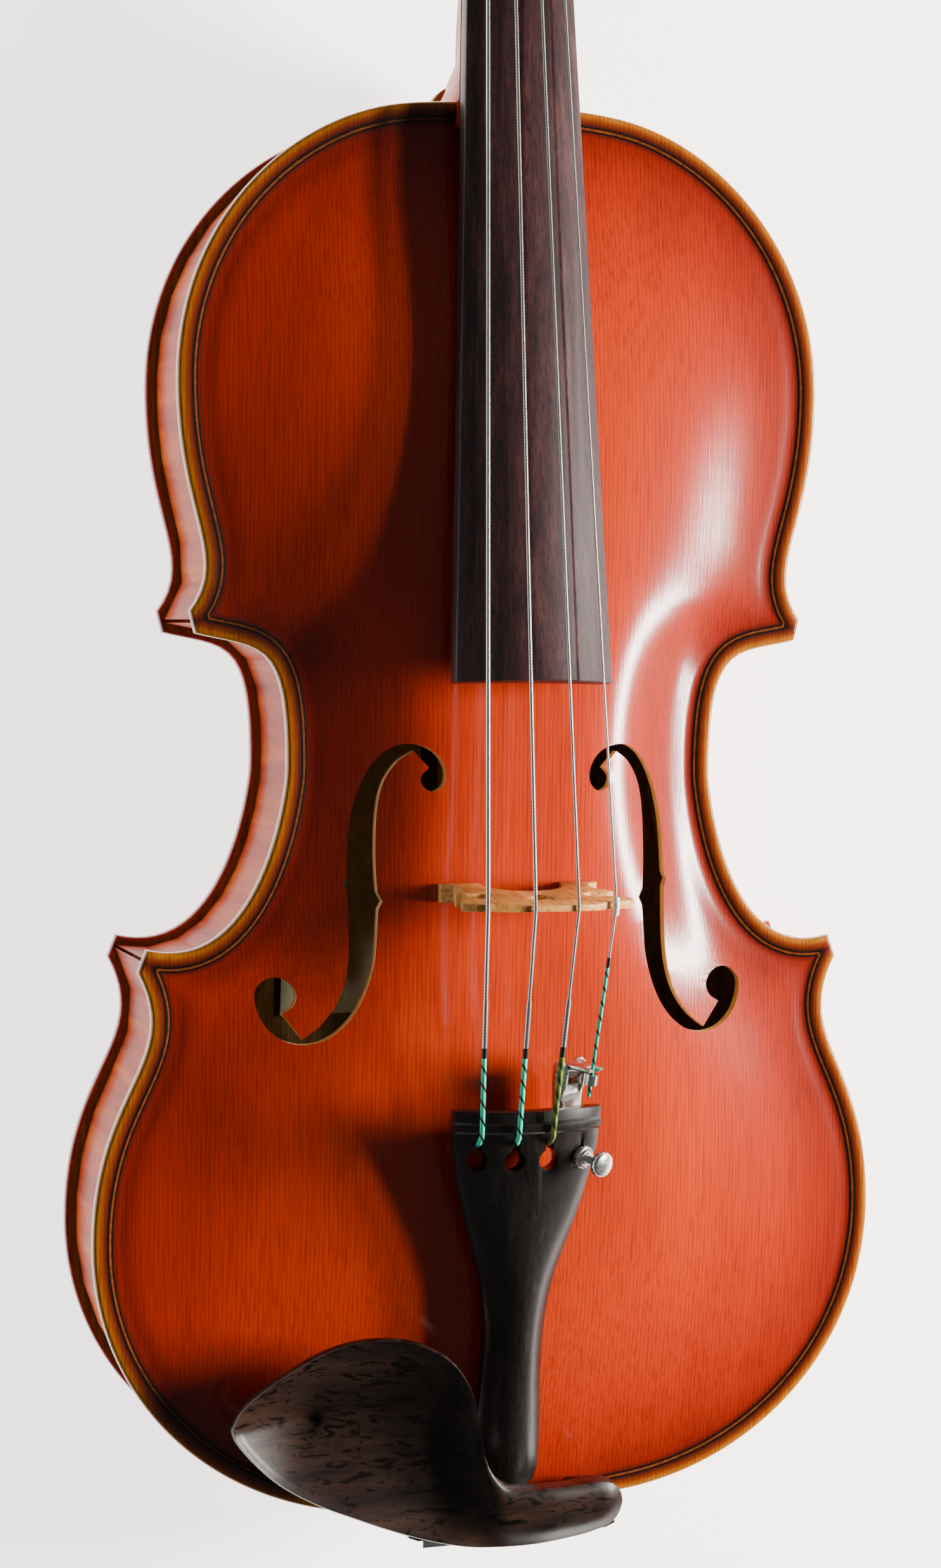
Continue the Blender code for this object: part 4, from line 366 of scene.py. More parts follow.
def plate(name, crown, base, up, *materials):
    """A plate, drawn in loops from the spine over the arch and the edge, and back under the hollow."""
    def ring(inset, share=0.0):
        points = outline_ring(inset)
        half = sum(RING_COUNTS) - len(RING_COUNTS) + 1
        heights = np.clip(np.minimum.accumulate(points[:half, 1]), SPINE_LOW, SPINE_HIGH)
        heights = np.concatenate([heights, heights[1:-1][::-1]])
        spine = np.stack([np.zeros(len(points)), heights], axis=1)
        return points + (spine - points) * share

    outside = [ring(13.0, share) for share in (1.0, 0.93, 0.86, 0.78, 0.7, 0.62, 0.54, 0.46, 0.38, 0.31, 0.24,
                                               0.17, 0.11, 0.05)]
    outside += [ring(inset) for inset in (13.0, 11.0, 9.5, 8.0, 6.8, 5.8, 4.8, 3.8, 2.6)]
    levels = [(points, arch(points, crown)) for points in outside]
    for turn in (90.0, 60.0, 30.0, 0.0):
        inset = EDGE_ROUND * (1.0 - math.cos(math.radians(turn)))
        height = EDGE - EDGE_ROUND * (1.0 - math.sin(math.radians(turn)))
        points = ring(inset)
        levels.append((points, np.full(len(points), height)))
    for turn in (0.0, 30.0, 60.0, 90.0):
        inset = EDGE_ROUND * (1.0 - math.cos(math.radians(turn)))
        points = ring(inset)
        levels.append((points, np.full(len(points), EDGE_ROUND * (1.0 - math.sin(math.radians(turn))))))
    inside = [ring(inset) for inset in (GLUE_MARGIN, 12.0, 16.0)]
    inside += [ring(16.0, share) for share in (0.2, 0.4, 0.6, 0.8, 1.0)]
    levels += [(points, hollow(points, crown)) for points in inside]
    bm = bmesh.new()
    loop = None
    for points, heights in levels:
        places = [spot(x, y, base + up * z) for (x, y), z in zip(points, heights)]
        loop = grow(bm, loop, places) if loop else first_loop(bm, places)
    bmesh.ops.remove_doubles(bm, verts=bm.verts, dist=0.002 * MM)
    bmesh.ops.dissolve_degenerate(bm, edges=bm.edges, dist=0.001 * MM)
    return piece_from(bm, name, *materials)


def mark_plate(piece):
    """Writes each point's distance from the edge in mm."""
    mesh = piece.data
    places = np.array([v.co for v in mesh.vertices]) / MM
    flat = places[:, :2] - [0.0, EDGE_LOW / MM]
    best = np.full(len(flat), 1e9)
    for knots in (UPPER_BOUT, CENTRE_BOUT, LOWER_BOUT):
        for side in (1.0, -1.0):
            for point in bout(knots, 2.0) * [side, 1.0]:
                best = np.minimum(best, np.hypot(*(flat - point).T))
    layer = mesh.attributes.new("inset", "FLOAT", "POINT")
    layer.data.foreach_set("value", best)
    return flat, best


def bare_inside(piece, crown, base, up):
    """Gives faces that the varnish brush never reached the second material."""
    mesh = piece.data
    centres = np.array([f.center for f in mesh.polygons]) / MM - [0.0, EDGE_LOW / MM, GLUE_LOW / MM]
    heights = (centres[:, 2] - base) * up
    inside = from_edge(centres[:, :2])
    under = heights < arch(centres[:, :2], crown) - 0.35
    for polygon, bare in zip(mesh.polygons, under & (inside > 2.5)):
        polygon.material_index = int(bare)


def wood_grain(tree, scale, detail=4.0, distortion=0.0):
    """Noise drawn out along one axis, with the scale given per millimetre."""
    place = add_node(tree, "ShaderNodeTexCoord").outputs["Object"]
    drawn = add_node(tree, "ShaderNodeMapping", {"Vector": place, "Scale": [s / MM for s in scale]})
    return add_node(tree, "ShaderNodeTexNoise", {"Vector": drawn.outputs["Vector"], "Scale": 1.0, "Detail": detail,
                                                 "Roughness": 0.6, "Distortion": distortion}).outputs["Fac"]


def ramp(tree, factor, stops):
    """A colour ramp with stops of (place, hex colour)."""
    made = add_node(tree, "ShaderNodeValToRGB", {"Fac": factor})
    elements = made.color_ramp.elements
    while len(elements) < len(stops):
        elements.new(0.5)
    for element, (place, code) in zip(elements, stops):
        element.position = place
        element.color = linear(code)
    return made.outputs["Color"]


def blended(tree, mode, factor, first, second):
    """Two colours mixed in one of the mix modes."""
    made = add_node(tree, "ShaderNodeMix", data_type="RGBA", blend_type=mode)
    for index, value in ((0, factor), (FLAT_A, first), (FLAT_B, second)):
        if isinstance(value, bpy.types.NodeSocket):
            tree.links.new(value, made.inputs[index])
        elif index:
            made.inputs[index].default_value = linear(value)
        else:
            made.inputs[index].default_value = value
    return made.outputs[2]


def bumped(tree, shader, height, strength, depth):
    """Relief in millimetres on a material."""
    bump = add_node(tree, "ShaderNodeBump", {"Height": height, "Strength": strength, "Distance": depth * MM})
    tree.links.new(bump.outputs["Normal"], shader.inputs["Normal"])


def edge_shade(tree, stops):
    """Colours by the distance from the plate's edge, out to 60 mm."""
    inset = add_node(tree, "ShaderNodeAttribute", attribute_name="inset").outputs["Fac"]
    share = add_node(tree, "ShaderNodeMath", {0: inset, 1: 60.0}, operation="DIVIDE").outputs["Value"]
    return ramp(tree, share, [(place / 60.0, code) for place, code in stops])


YEAR_RING = 1.3
YEAR_RING_SCALE = 2 * math.pi / 20.0 / (YEAR_RING * MM)


def varnished_spruce():
    """Oil varnish over quarter-sawn spruce: red-orange, darker beside the purfling, worn to amber on the edge.

    Year rings 1.3 mm apart run the length of the plate and show as faint dark lines.
    """
    material, tree, shader = finish("oil_varnished_spruce", 0.5, coat=1.0, coat_roughness=0.13, specular=0.1)
    shade = edge_shade(tree, ((0.0, "#B87A10"), (1.5, "#AC640A"), (2.4, "#863804"), (3.6, "#561802"),
                              (4.3, "#260701"), (5.6, "#460C01"), (7.4, "#861A00"), (15.0, "#A22400"),
                              (34.0, "#BC2E00"), (60.0, "#C63600")))
    place = add_node(tree, "ShaderNodeTexCoord").outputs["Object"]
    rings = add_node(tree, "ShaderNodeTexWave", {"Vector": place, "Scale": YEAR_RING_SCALE, "Distortion": 3.0,
                                                 "Detail": 2.0, "Detail Scale": 0.08}).outputs["Fac"]
    lines = ramp(tree, rings, ((0.0, "#C6AFA2"), (0.5, "#FFFFFF"), (1.0, "#F0E8E2")))
    pores = wood_grain(tree, (1.6, 0.05, 1.6), 3.0)
    flecks = ramp(tree, pores, ((0.36, "#C9B0A2"), (0.52, "#FFFFFF")))
    cloud = wood_grain(tree, (0.03, 0.008, 0.03), 3.0)
    patches = ramp(tree, cloud, ((0.3, "#D0BEB4"), (0.7, "#FFFFFF")))
    colour = blended(tree, "MULTIPLY", 0.55, shade, lines)
    colour = blended(tree, "MULTIPLY", 0.55, colour, flecks)
    colour = blended(tree, "MULTIPLY", 0.6, colour, patches)
    tree.links.new(colour, shader.inputs["Base Color"])
    for socket, strength in (("Normal", 0.8), ("Coat Normal", 0.3)):
        relief = add_node(tree, "ShaderNodeBump", {"Height": pores, "Strength": strength, "Distance": 0.05 * MM})
        tree.links.new(relief.outputs["Normal"], shader.inputs[socket])
    return material


def varnished_maple(name, along):
    """The same varnish over flamed maple: stripes 5 to 10 mm apart that cross the grain."""
    material, tree, shader = finish(name, 0.5, coat=1.0, coat_roughness=0.1, specular=0.1)
    flame = wood_grain(tree, along, 3.0, 0.6)
    colour = ramp(tree, flame, ((0.3, "#8A2404"), (0.5, "#B63E06"), (0.68, "#CC5A10")))
    pores = wood_grain(tree, (1.1, 0.25, 1.1), 2.0)
    colour = blended(tree, "MULTIPLY", 0.35, colour, ramp(tree, pores, ((0.35, "#B59A8C"), (0.55, "#FFFFFF"))))
    return material, tree, shader, colour


def bare_wood(name, pale, dark):
    """Unvarnished tonewood inside the body, dry and a little grey with age."""
    material, tree, shader = finish(name, 0.75, specular=0.3)
    grain = wood_grain(tree, (0.7, 0.01, 0.7), 3.0)
    tree.links.new(ramp(tree, grain, ((0.35, dark), (0.65, pale))), shader.inputs["Base Color"])
    return material


spruce = varnished_spruce()
bare_spruce = bare_wood("bare_spruce", "#E4BC84", "#CC9C62")
bare_maple = bare_wood("bare_maple", "#94703F", "#745428")
plate_maple, tree, shader, flame_colour = varnished_maple("oil_varnished_plate_maple", (0.02, 0.13, 0.02))
edge_colour = edge_shade(tree, ((0.0, "#E8B050"), (2.0, "#D89848"), (4.2, "#40140A"), (8.0, "#B87860"), (24.0, "#FFFFFF")))
tree.links.new(blended(tree, "MULTIPLY", 1.0, flame_colour, edge_colour), shader.inputs["Base Color"])

F_HOLE = (
    (50.4, 191.6), (49.3, 193.8), (49.1, 200.0), (48.6, 207.5), (47.2, 215.0), (44.6, 222.3), (41.0, 228.0),
    (37.0, 231.2), (32.8, 232.2), (28.0, 231.3), (24.4, 228.8), (22.3, 224.8), (22.5, 220.8), (25.3, 218.4),
    (28.2, 219.5), (29.3, 222.0), (28.4, 223.9), (26.9, 225.3), (31.3, 230.1), (35.6, 227.1), (39.2, 221.5),
    (40.9, 214.5), (41.5, 205.0), (41.5, 196.0), (41.1, 189.2), (39.7, 186.6), (40.9, 184.2), (41.3, 178.0),
    (41.9, 170.2), (43.6, 163.2), (46.8, 155.8), (51.3, 150.0), (57.0, 146.3), (63.2, 145.4), (69.0, 147.2),
    (73.6, 151.8), (75.8, 158.5), (74.4, 162.6), (70.5, 164.6), (66.2, 163.4), (63.9, 159.8), (64.9, 156.4),
    (68.1, 154.2), (62.4, 146.9), (57.3, 151.0), (52.7, 157.2), (50.2, 164.2), (49.2, 172.0), (49.1, 181.0),
    (49.3, 189.3),
)
F_CORNERS = ((50.4, 191.6), (26.9, 225.3), (31.3, 230.1), (41.1, 189.2), (39.7, 186.6), (40.9, 184.2),
             (68.1, 154.2), (62.4, 146.9), (49.3, 189.3))


def rounded(points, corners, steps):
    """A closed curve through points, smooth except at its corners."""
    count = len(points)
    curve = []
    for i in range(count):
        a, b = np.array(points[i]), np.array(points[(i + 1) % count])
        before = 2 * a - b if tuple(points[i]) in corners else np.array(points[i - 1])
        after = 2 * b - a if tuple(points[(i + 1) % count]) in corners else np.array(points[(i + 2) % count])
        for k in range(steps):
            t = k / steps
            curve.append(0.5 * (2 * a + (b - before) * t + (2 * before - 5 * a + 4 * b - after) * t * t
                                + (3 * a - 3 * b + after - before) * t ** 3))
    return curve


NECK_ANGLE = math.radians(5.8)
NUT_Y, NUT_Z = 569.0, 36.6
BOARD_NUT_HALF, BOARD_END_HALF, BOARD_LENGTH = 12.0, 23.8, 320.3
BUTTON_RADIUS = 12.5
ROOT_Y = 410.5
FIT = 0.3


def root_outline(y):
    """The neck root's half widths at y: under the fingerboard and on the button."""
    along = (NUT_Y - y) / math.cos(NECK_ANGLE)
    wide = BOARD_NUT_HALF + (BOARD_END_HALF - BOARD_NUT_HALF) * along / BOARD_LENGTH
    top = NUT_Z + (NUT_Y - y) * math.tan(NECK_ANGLE) - (5.0 + FIT) / math.cos(NECK_ANGLE)
    return wide + FIT, BUTTON_RADIUS - 1.5 + FIT, top


belly = plate("belly", BELLY_ARCH, RIB_HEIGHT, 1.0, spruce, bare_spruce)
for side in (1.0, -1.0):
    outline = [(side * x, y) for x, y in rounded(F_HOLE, F_CORNERS, 4)]
    carve(belly, block(outline, RIB_HEIGHT - 10.0, RIB_HEIGHT + 30.0))


def mortise_tool():
    """A tool shape for the place where the neck's root stands in the belly."""
    bm = bmesh.new()
    ends = []
    for y in (ROOT_Y - FIT, 450.0):
        wide, narrow, top = root_outline(y)
        section = [(wide, top + 25.0), (wide, top - 2.0), (narrow, -FIT), (-narrow, -FIT), (-wide, top - 2.0),
                   (-wide, top + 25.0)]
        places = [spot(x, y, z) for x, z in section]
        ends.append(grow(bm, ends[0], places) if ends else first_loop(bm, places))
    for loop in ends:
        cap(bm, loop)
    return piece_from(bm, "mortise_tool")


carve(belly, mortise_tool())
SADDLE_HALF, SADDLE_DEPTH = 17.0, 8.0
notch = [(-SADDLE_HALF - FIT, -5.0), (SADDLE_HALF + FIT, -5.0), (SADDLE_HALF + FIT, SADDLE_DEPTH + FIT),
         (-SADDLE_HALF - FIT, SADDLE_DEPTH + FIT)]
carve(belly, block(notch, RIB_HEIGHT - 1.0, RIB_HEIGHT + 20.0))

back = plate("back", BACK_ARCH, 0.0, -1.0, plate_maple, bare_maple)
button = [(BUTTON_RADIUS, 412.5)]
for k in range(25):
    turn = math.pi * k / 24
    button.append((BUTTON_RADIUS * math.cos(turn), 419.5 + BUTTON_RADIUS * math.sin(turn)))
button.append((-BUTTON_RADIUS, 412.5))
carve(back, block(button, -4.05, -0.05), "UNION")

for piece, crown, base, up, node, slot in ((belly, BELLY_ARCH, RIB_HEIGHT, 1.0, "top_plate", "varnished_spruce"),
                                           (back, BACK_ARCH, 0.0, -1.0, "back_plate", "varnished_maple")):
    mark_plate(piece)
    bare_inside(piece, crown, base, up)
    piece.data.shade_smooth()
    piece.data.set_sharp_from_angle(angle=math.radians(35.0))
    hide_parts(node)
    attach(piece, "body")


# Purfling
# Three strips of veneer let into a groove 4.2 mm inside the edge of each plate: black, pale, black.
# The strips follow every bout and meet in mitres at the corners.

PURFLING = ((4.1, 4.6, "black"), (4.65, 5.25, "pale"), (5.3, 5.8, "black"))
PROUD = 0.07


def purfling(name, colour, crown, base, up, material):
    """The strips of one colour in one plate, as thin closed bands that run right round it."""
    bm = bmesh.new()
    for outer_inset, inner_inset, shade in PURFLING:
        if shade != colour:
            continue
        outer, inner = outline_ring(outer_inset), outline_ring(inner_inset)
        outer_height, inner_height = arch(outer, crown), arch(inner, crown)
        loop = None
        for points, heights in ((outer, outer_height + PROUD), (inner, inner_height + PROUD),
                                (inner, inner_height - 0.4), (outer, outer_height - 0.4),
                                (outer, outer_height + PROUD)):
            places = [spot(x, y, base + up * z) for (x, y), z in zip(points, heights)]
            loop = grow(bm, loop, places) if loop else first_loop(bm, places)
    bmesh.ops.remove_doubles(bm, verts=bm.verts, dist=0.001 * MM)
    bmesh.ops.dissolve_degenerate(bm, edges=bm.edges, dist=0.001 * MM)
    return piece_from(bm, name, material)


def dyed_veneer(name, pale, dark):
    """Pear or poplar veneer under the varnish, too thin for its grain to show."""
    material, tree, shader = finish(name, 0.5, coat=0.8, coat_roughness=0.15, specular=0.1)
    grain = wood_grain(tree, (0.5, 0.5, 0.5), 2.0)
    tree.links.new(ramp(tree, grain, ((0.35, dark), (0.65, pale))), shader.inputs["Base Color"])
    return material


veneers = {"black": dyed_veneer("dyed_pear_veneer", "#160803", "#0E0502"),
           "pale": dyed_veneer("poplar_veneer", "#7A3A0C", "#5C2606")}
for plate_name, crown, base, up, slot in (("belly", BELLY_ARCH, RIB_HEIGHT, 1.0, "varnished_spruce"),
                                          ("back", BACK_ARCH, 0.0, -1.0, "varnished_maple")):
    for colour, veneer in veneers.items():
        strips = purfling(f"{plate_name}_purfling_{colour}", colour, crown, base, up, veneer)
        if plate_name == "belly":
            carve(strips, mortise_tool())
            carve(strips, block(notch, RIB_HEIGHT - 1.0, RIB_HEIGHT + 20.0))
        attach(strips, "body")


# Pieces turned and carved as the frame has them
# The ribs, neck, fittings, strings and metalwork keep their shapes. Each is a merged copy with smooth faces
# and, where a maker eases the edges, a small bevel.

BODY_OF = {node: body for body, nodes in frame["record"]["behaviour"]["bodies"].items() for node in nodes}


def worked(node, material, ease=0.0, sharp=35.0):
    """A finished copy of a node, with its edges eased by some millimetres."""
    bm = bmesh.new()
    bm.from_mesh(frame["nodes"][node].data)
    bmesh.ops.remove_doubles(bm, verts=bm.verts, dist=0.001 * MM)
    bmesh.ops.dissolve_degenerate(bm, edges=bm.edges, dist=0.001 * MM)
    if ease:
        bmesh.ops.dissolve_limit(bm, angle_limit=math.radians(0.5), verts=bm.verts, edges=bm.edges)
        edges = [e for e in bm.edges if len(e.link_faces) == 2 and e.calc_face_angle(0.0) > math.radians(40.0)]
        bmesh.ops.bevel(bm, geom=edges, offset=ease * MM, offset_type="OFFSET", segments=2, profile=0.5,
                        affect="EDGES", clamp_overlap=True, material=-1)
    piece = piece_from(bm, node + "_worked", material, sharp=sharp)
    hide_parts(node)
    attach(piece, BODY_OF[node])
    return piece


# Ribs
# Six strips of flamed maple, bent over a hot iron and glued to the plates and blocks.

rib_maple, tree, shader, flame_colour = varnished_maple("oil_varnished_rib_maple", (0.12, 0.12, 0.01))
tree.links.new(flame_colour, shader.inputs["Base Color"])
shader.inputs["Coat Weight"].default_value = 0.14
shader.inputs["Coat Roughness"].default_value = 0.16
for bout_name in ("upper", "centre", "lower"):
    for hand in ("bass", "treble"):
        worked(f"{bout_name}_rib_{hand}", rib_maple)


# Neck with pegbox and scroll
# One piece of maple. The pegbox and scroll are varnished; the handle is only oiled, so it is paler.

neck_maple, tree, shader, flame_colour = varnished_maple("varnished_and_oiled_maple", (0.02, 0.13, 0.02))
place = add_node(tree, "ShaderNodeTexCoord").outputs["Object"]
along = add_node(tree, "ShaderNodeSeparateXYZ", {0: place}).outputs["Y"]
HANDLE_FADE = ((440.0, 452.0), (566.0, 556.0))
shares = []
for start, end in HANDLE_FADE:
    shares.append(add_node(tree, "ShaderNodeMapRange", {"Value": along, "From Min": start * MM + EDGE_LOW,
                                                       "From Max": end * MM + EDGE_LOW}).outputs["Result"])
handle = add_node(tree, "ShaderNodeMath", {0: shares[0], 1: shares[1]}, operation="MULTIPLY").outputs["Value"]
oiled = ramp(tree, wood_grain(tree, (0.02, 0.13, 0.02), 3.0, 0.6), ((0.3, "#9C6430"), (0.7, "#C08A50")))
tree.links.new(blended(tree, "MIX", handle, flame_colour, oiled), shader.inputs["Base Color"])
shader.inputs["Coat Weight"].default_value = 0.2
shader.inputs["Coat Roughness"].default_value = 0.2
worked("neck", neck_maple, sharp=42.0)


# Ebony fittings
# Fingerboard, nut, saddle, tailpiece, pegs and end button are ebony: nearly black, with brown and purple
# streaks that run the length of the board, polished but not varnished.

def ebony(name, stops, drawn, roughness, coat=0.0):
    """Oiled ebony with streaks and fine open pores."""
    material, tree, shader = finish(name, roughness, coat=coat, coat_roughness=0.2)
    streaks = wood_grain(tree, drawn, 5.0, 0.4)
    colour = ramp(tree, streaks, stops)
    pores = wood_grain(tree, (2.2, 0.12, 2.2), 2.0)
    colour = blended(tree, "MULTIPLY", 0.7, colour, ramp(tree, pores, ((0.38, "#6A5A55"), (0.5, "#FFFFFF"))))
    tree.links.new(colour, shader.inputs["Base Color"])
    bumped(tree, shader, pores, 0.3, 0.05)
    return material


board_ebony = ebony("board_ebony", ((0.3, "#1E0C0E"), (0.5, "#34181A"), (0.7, "#482A2A")), (0.35, 0.004, 0.35), 0.5)
fitting_ebony = ebony("fitting_ebony", ((0.35, "#0E0B0A"), (0.6, "#1A1513"), (0.75, "#2A211C")),
                      (0.5, 0.02, 0.5), 0.36, 0.12)
worked("fingerboard", board_ebony, 0.4)
for node, ease in (("nut", 0.0), ("saddle", 0.5), ("tailpiece", 0.35), ("end_button", 0.0), ("peg_c", 0.0),
                   ("peg_g", 0.0), ("peg_d", 0.0), ("peg_a", 0.0)):
    worked(node, fitting_ebony, ease)


# Bridge
# A quarter-sawn maple blank with flecks, cut thin towards the top and never varnished.

bridge_maple, tree, shader = finish("quarter_sawn_maple", 0.45, coat=0.15, coat_roughness=0.3)
flecks = wood_grain(tree, (0.9, 0.9, 0.12), 3.0)
tree.links.new(ramp(tree, flecks, ((0.34, "#A06428"), (0.45, "#CC8C42"), (0.7, "#DCA058"))), shader.inputs["Base Color"])
bumped(tree, shader, flecks, 0.2, 0.05)
worked("bridge", bridge_maple, 0.25)


# Strings
# Steel or gut cores wound with flat aluminium and silver wire. Their ends at the tailpiece are wrapped in silk:
# turquoise with a black spiral on three strings, olive on the D string.

def wound_string(letter, silk_from, silk_to, silk_stops, twist):
    """Wire winding, then silk between two heights along the string, with its spiral. Each turn of the wire carries a
    painted sheen in its middle and painted shade at its ends.
    """
    material, tree, shader = finish(f"wound_{letter}_string", 0.32)
    place = add_node(tree, "ShaderNodeTexCoord").outputs["Object"]
    parts = add_node(tree, "ShaderNodeSeparateXYZ", {0: place})
    slant = add_node(tree, "ShaderNodeMath", {0: parts.outputs["X"], 1: twist, 2: parts.outputs["Y"]},
                     operation="MULTIPLY_ADD").outputs["Value"]
    turns = add_node(tree, "ShaderNodeMath", {0: slant, 1: 1.0 / (4.6 * MM)}, operation="MULTIPLY").outputs["Value"]
    spiral = add_node(tree, "ShaderNodeMath", {0: turns}, operation="FRACT").outputs["Value"]
    silk = ramp(tree, spiral, silk_stops)
    low, high = (y * MM + EDGE_LOW for y in (silk_to, silk_from))
    above = add_node(tree, "ShaderNodeMath", {0: parts.outputs["Y"], 1: high}, operation="LESS_THAN").outputs["Value"]
    collar = add_node(tree, "ShaderNodeMath", {0: parts.outputs["Y"], 1: high - 3.0 * MM},
                      operation="GREATER_THAN").outputs["Value"]
    silk = blended(tree, "MIX", collar, silk, "#121210")
    turn_wire = add_node(tree, "ShaderNodeMath", {0: parts.outputs["Y"], 1: 1.0 / (0.9 * MM)},
                         operation="MULTIPLY").outputs["Value"]
    wire_wave = add_node(tree, "ShaderNodeMath", {0: turn_wire}, operation="FRACT").outputs["Value"]
    # Each 0.9 mm turn of the wire is painted lighter in its middle and darker at its ends: a painted sheen on the turn
    # and painted shade in the groove between turns.
    wire = ramp(tree, wire_wave, ((0.0, "#C9C9C6"), (0.5, "#E6E6E2"), (1.0, "#B4B4B2")))
    tree.links.new(blended(tree, "MIX", above, wire, silk), shader.inputs["Base Color"])
    metal = add_node(tree, "ShaderNodeMath", {0: 1.0, 1: above}, operation="SUBTRACT").outputs["Value"]
    tree.links.new(metal, shader.inputs["Metallic"])
    bumped(tree, shader, wire_wave, 0.1, 0.03)
    return material


TURQUOISE = ((0.0, "#12C4A0"), (0.74, "#1AD8B2"), (0.78, "#0A1512"), (1.0, "#0A1512"))
OLIVE = ((0.0, "#4A5C18"), (0.55, "#7E8E30"), (0.6, "#20280C"), (1.0, "#3A4814"))
for letter, silk_from, stops in (("c", 147.0, TURQUOISE), ("g", 147.0, TURQUOISE), ("d", 147.0, OLIVE),
                                 ("a", 172.5, TURQUOISE)):
    worked(f"string_{letter}", wound_string(letter, silk_from, 100.0, stops, 1.6), sharp=60.0)


# Small metal fittings
# Nickel-plated brass and steel: the fine tuner, the balls of the strings and the clamp of the chin rest.
# Plating is bright, with fine wipe marks that break up its reflections.

nickel, tree, shader = finish("nickel_plated_brass", 0.2, metallic=1.0)
wipes = wood_grain(tree, (0.3, 1.2, 0.3), 3.0)
tree.links.new(ramp(tree, wipes, ((0.3, "#D6D2CA"), (0.7, "#E8E5DF"))), shader.inputs["Base Color"])
rough = add_node(tree, "ShaderNodeMapRange", {"Value": wipes, "From Min": 0.3, "From Max": 0.7, "To Min": 0.24,
                                              "To Max": 0.36}).outputs["Result"]
tree.links.new(rough, shader.inputs["Roughness"])
for node in ("c_string_ball", "g_string_ball", "d_string_ball", "a_string_ball", "tail_gut_nut_bass",
             "tail_gut_nut_treble", "tuner_frame", "tuner_pin", "tuner_lever", "tuner_ring_nut", "tuner_screw",
             "tuner_head", "clamp_bracket", "clamp_foot", "clamp_barrel_bass", "clamp_barrel_treble"):
    worked(node, nickel)


# Sleeve, tail gut and corks
# A clear-white plastic sleeve keeps the A string out of the bridge, a black nylon cord ties the tailpiece to
# the end button, and cork sheet pads the chin rest and its clamp.

sleeve_plastic, tree, shader = finish("white_polyethylene", 0.4)
cloud = wood_grain(tree, (0.8, 0.8, 0.8), 2.0)
tree.links.new(ramp(tree, cloud, ((0.3, "#E6E4DC"), (0.7, "#F4F3EE"))), shader.inputs["Base Color"])
worked("a_string_sleeve", sleeve_plastic)

nylon, tree, shader = finish("black_nylon", 0.35)
cloud = wood_grain(tree, (0.5, 0.5, 0.5), 2.0)
tree.links.new(ramp(tree, cloud, ((0.3, "#0E0E0E"), (0.7, "#1C1C1B"))), shader.inputs["Base Color"])
worked("tail_gut", nylon, sharp=60.0)

cork, tree, shader = finish("pressed_cork", 0.85, specular=0.25)
crumbs = wood_grain(tree, (0.9, 0.9, 0.9), 5.0)
tree.links.new(ramp(tree, crumbs, ((0.35, "#6E4A2A"), (0.5, "#A67C4C"), (0.65, "#BE9462"))), shader.inputs["Base Color"])
bumped(tree, shader, crumbs, 0.5, 0.15)
for node in ("chin_rest_cork_bass", "chin_rest_cork_treble", "clamp_foot_cork"):
    worked(node, cork, 0.2)


# Chin rest
# A cup and a bar carved from one block of ebony, with a thin rim on the cup and a smooth thick end.
# Brown wood with broken black bands shows in the cup.

REST_OUTLINE = (
    (-85.0, 37.5), (-82.1, 43.4), (-76.0, 48.8), (-66.8, 54.8), (-57.7, 59.4), (-48.0, 61.9), (-38.0, 61.9),
    (-30.0, 60.0), (-22.5, 55.7), (-17.6, 49.6), (-15.0, 43.0), (-13.4, 35.5), (-12.2, 28.5), (-9.8, 22.2),
    (-4.9, 17.4), (2.0, 15.8), (10.0, 15.4), (18.0, 15.2), (25.7, 15.5), (30.5, 14.0), (33.2, 9.0), (31.0, 2.6),
    (23.9, -0.3), (12.6, -1.5), (0.0, -1.9), (-12.4, -1.1), (-24.7, 1.2), (-37.3, 5.0), (-49.7, 9.8),
    (-60.0, 14.2), (-69.9, 19.9), (-77.4, 26.4), (-83.4, 33.4),
)
REST_SPINE = ((23.0, 7.5), (8.0, 6.6), (-8.0, 9.0), (-24.0, 20.0), (-42.0, 34.0), (-58.0, 37.5))
REST_TIP = (33.2, 9.0)
REST_HALF_POINTS = 76
REST_LEGS = ((-31.5, -18.4), (18.4, 31.5))
REST_RIM = 2.6
REST_CUP = 6.5
REST_PLATE = 6.5
REST_BAR = 10.5


def rest_rim(x, y):
    """Height of the chin rest's upper edge."""
    if x < -13.0:
        return 60.4 + 0.125 * (x + 85.0) - 0.10 * max(0.0, 30.0 - y)
    return 68.5 - 0.16 * max(0.0, x - 6.0) - 0.35 * max(0.0, 8.0 - y)


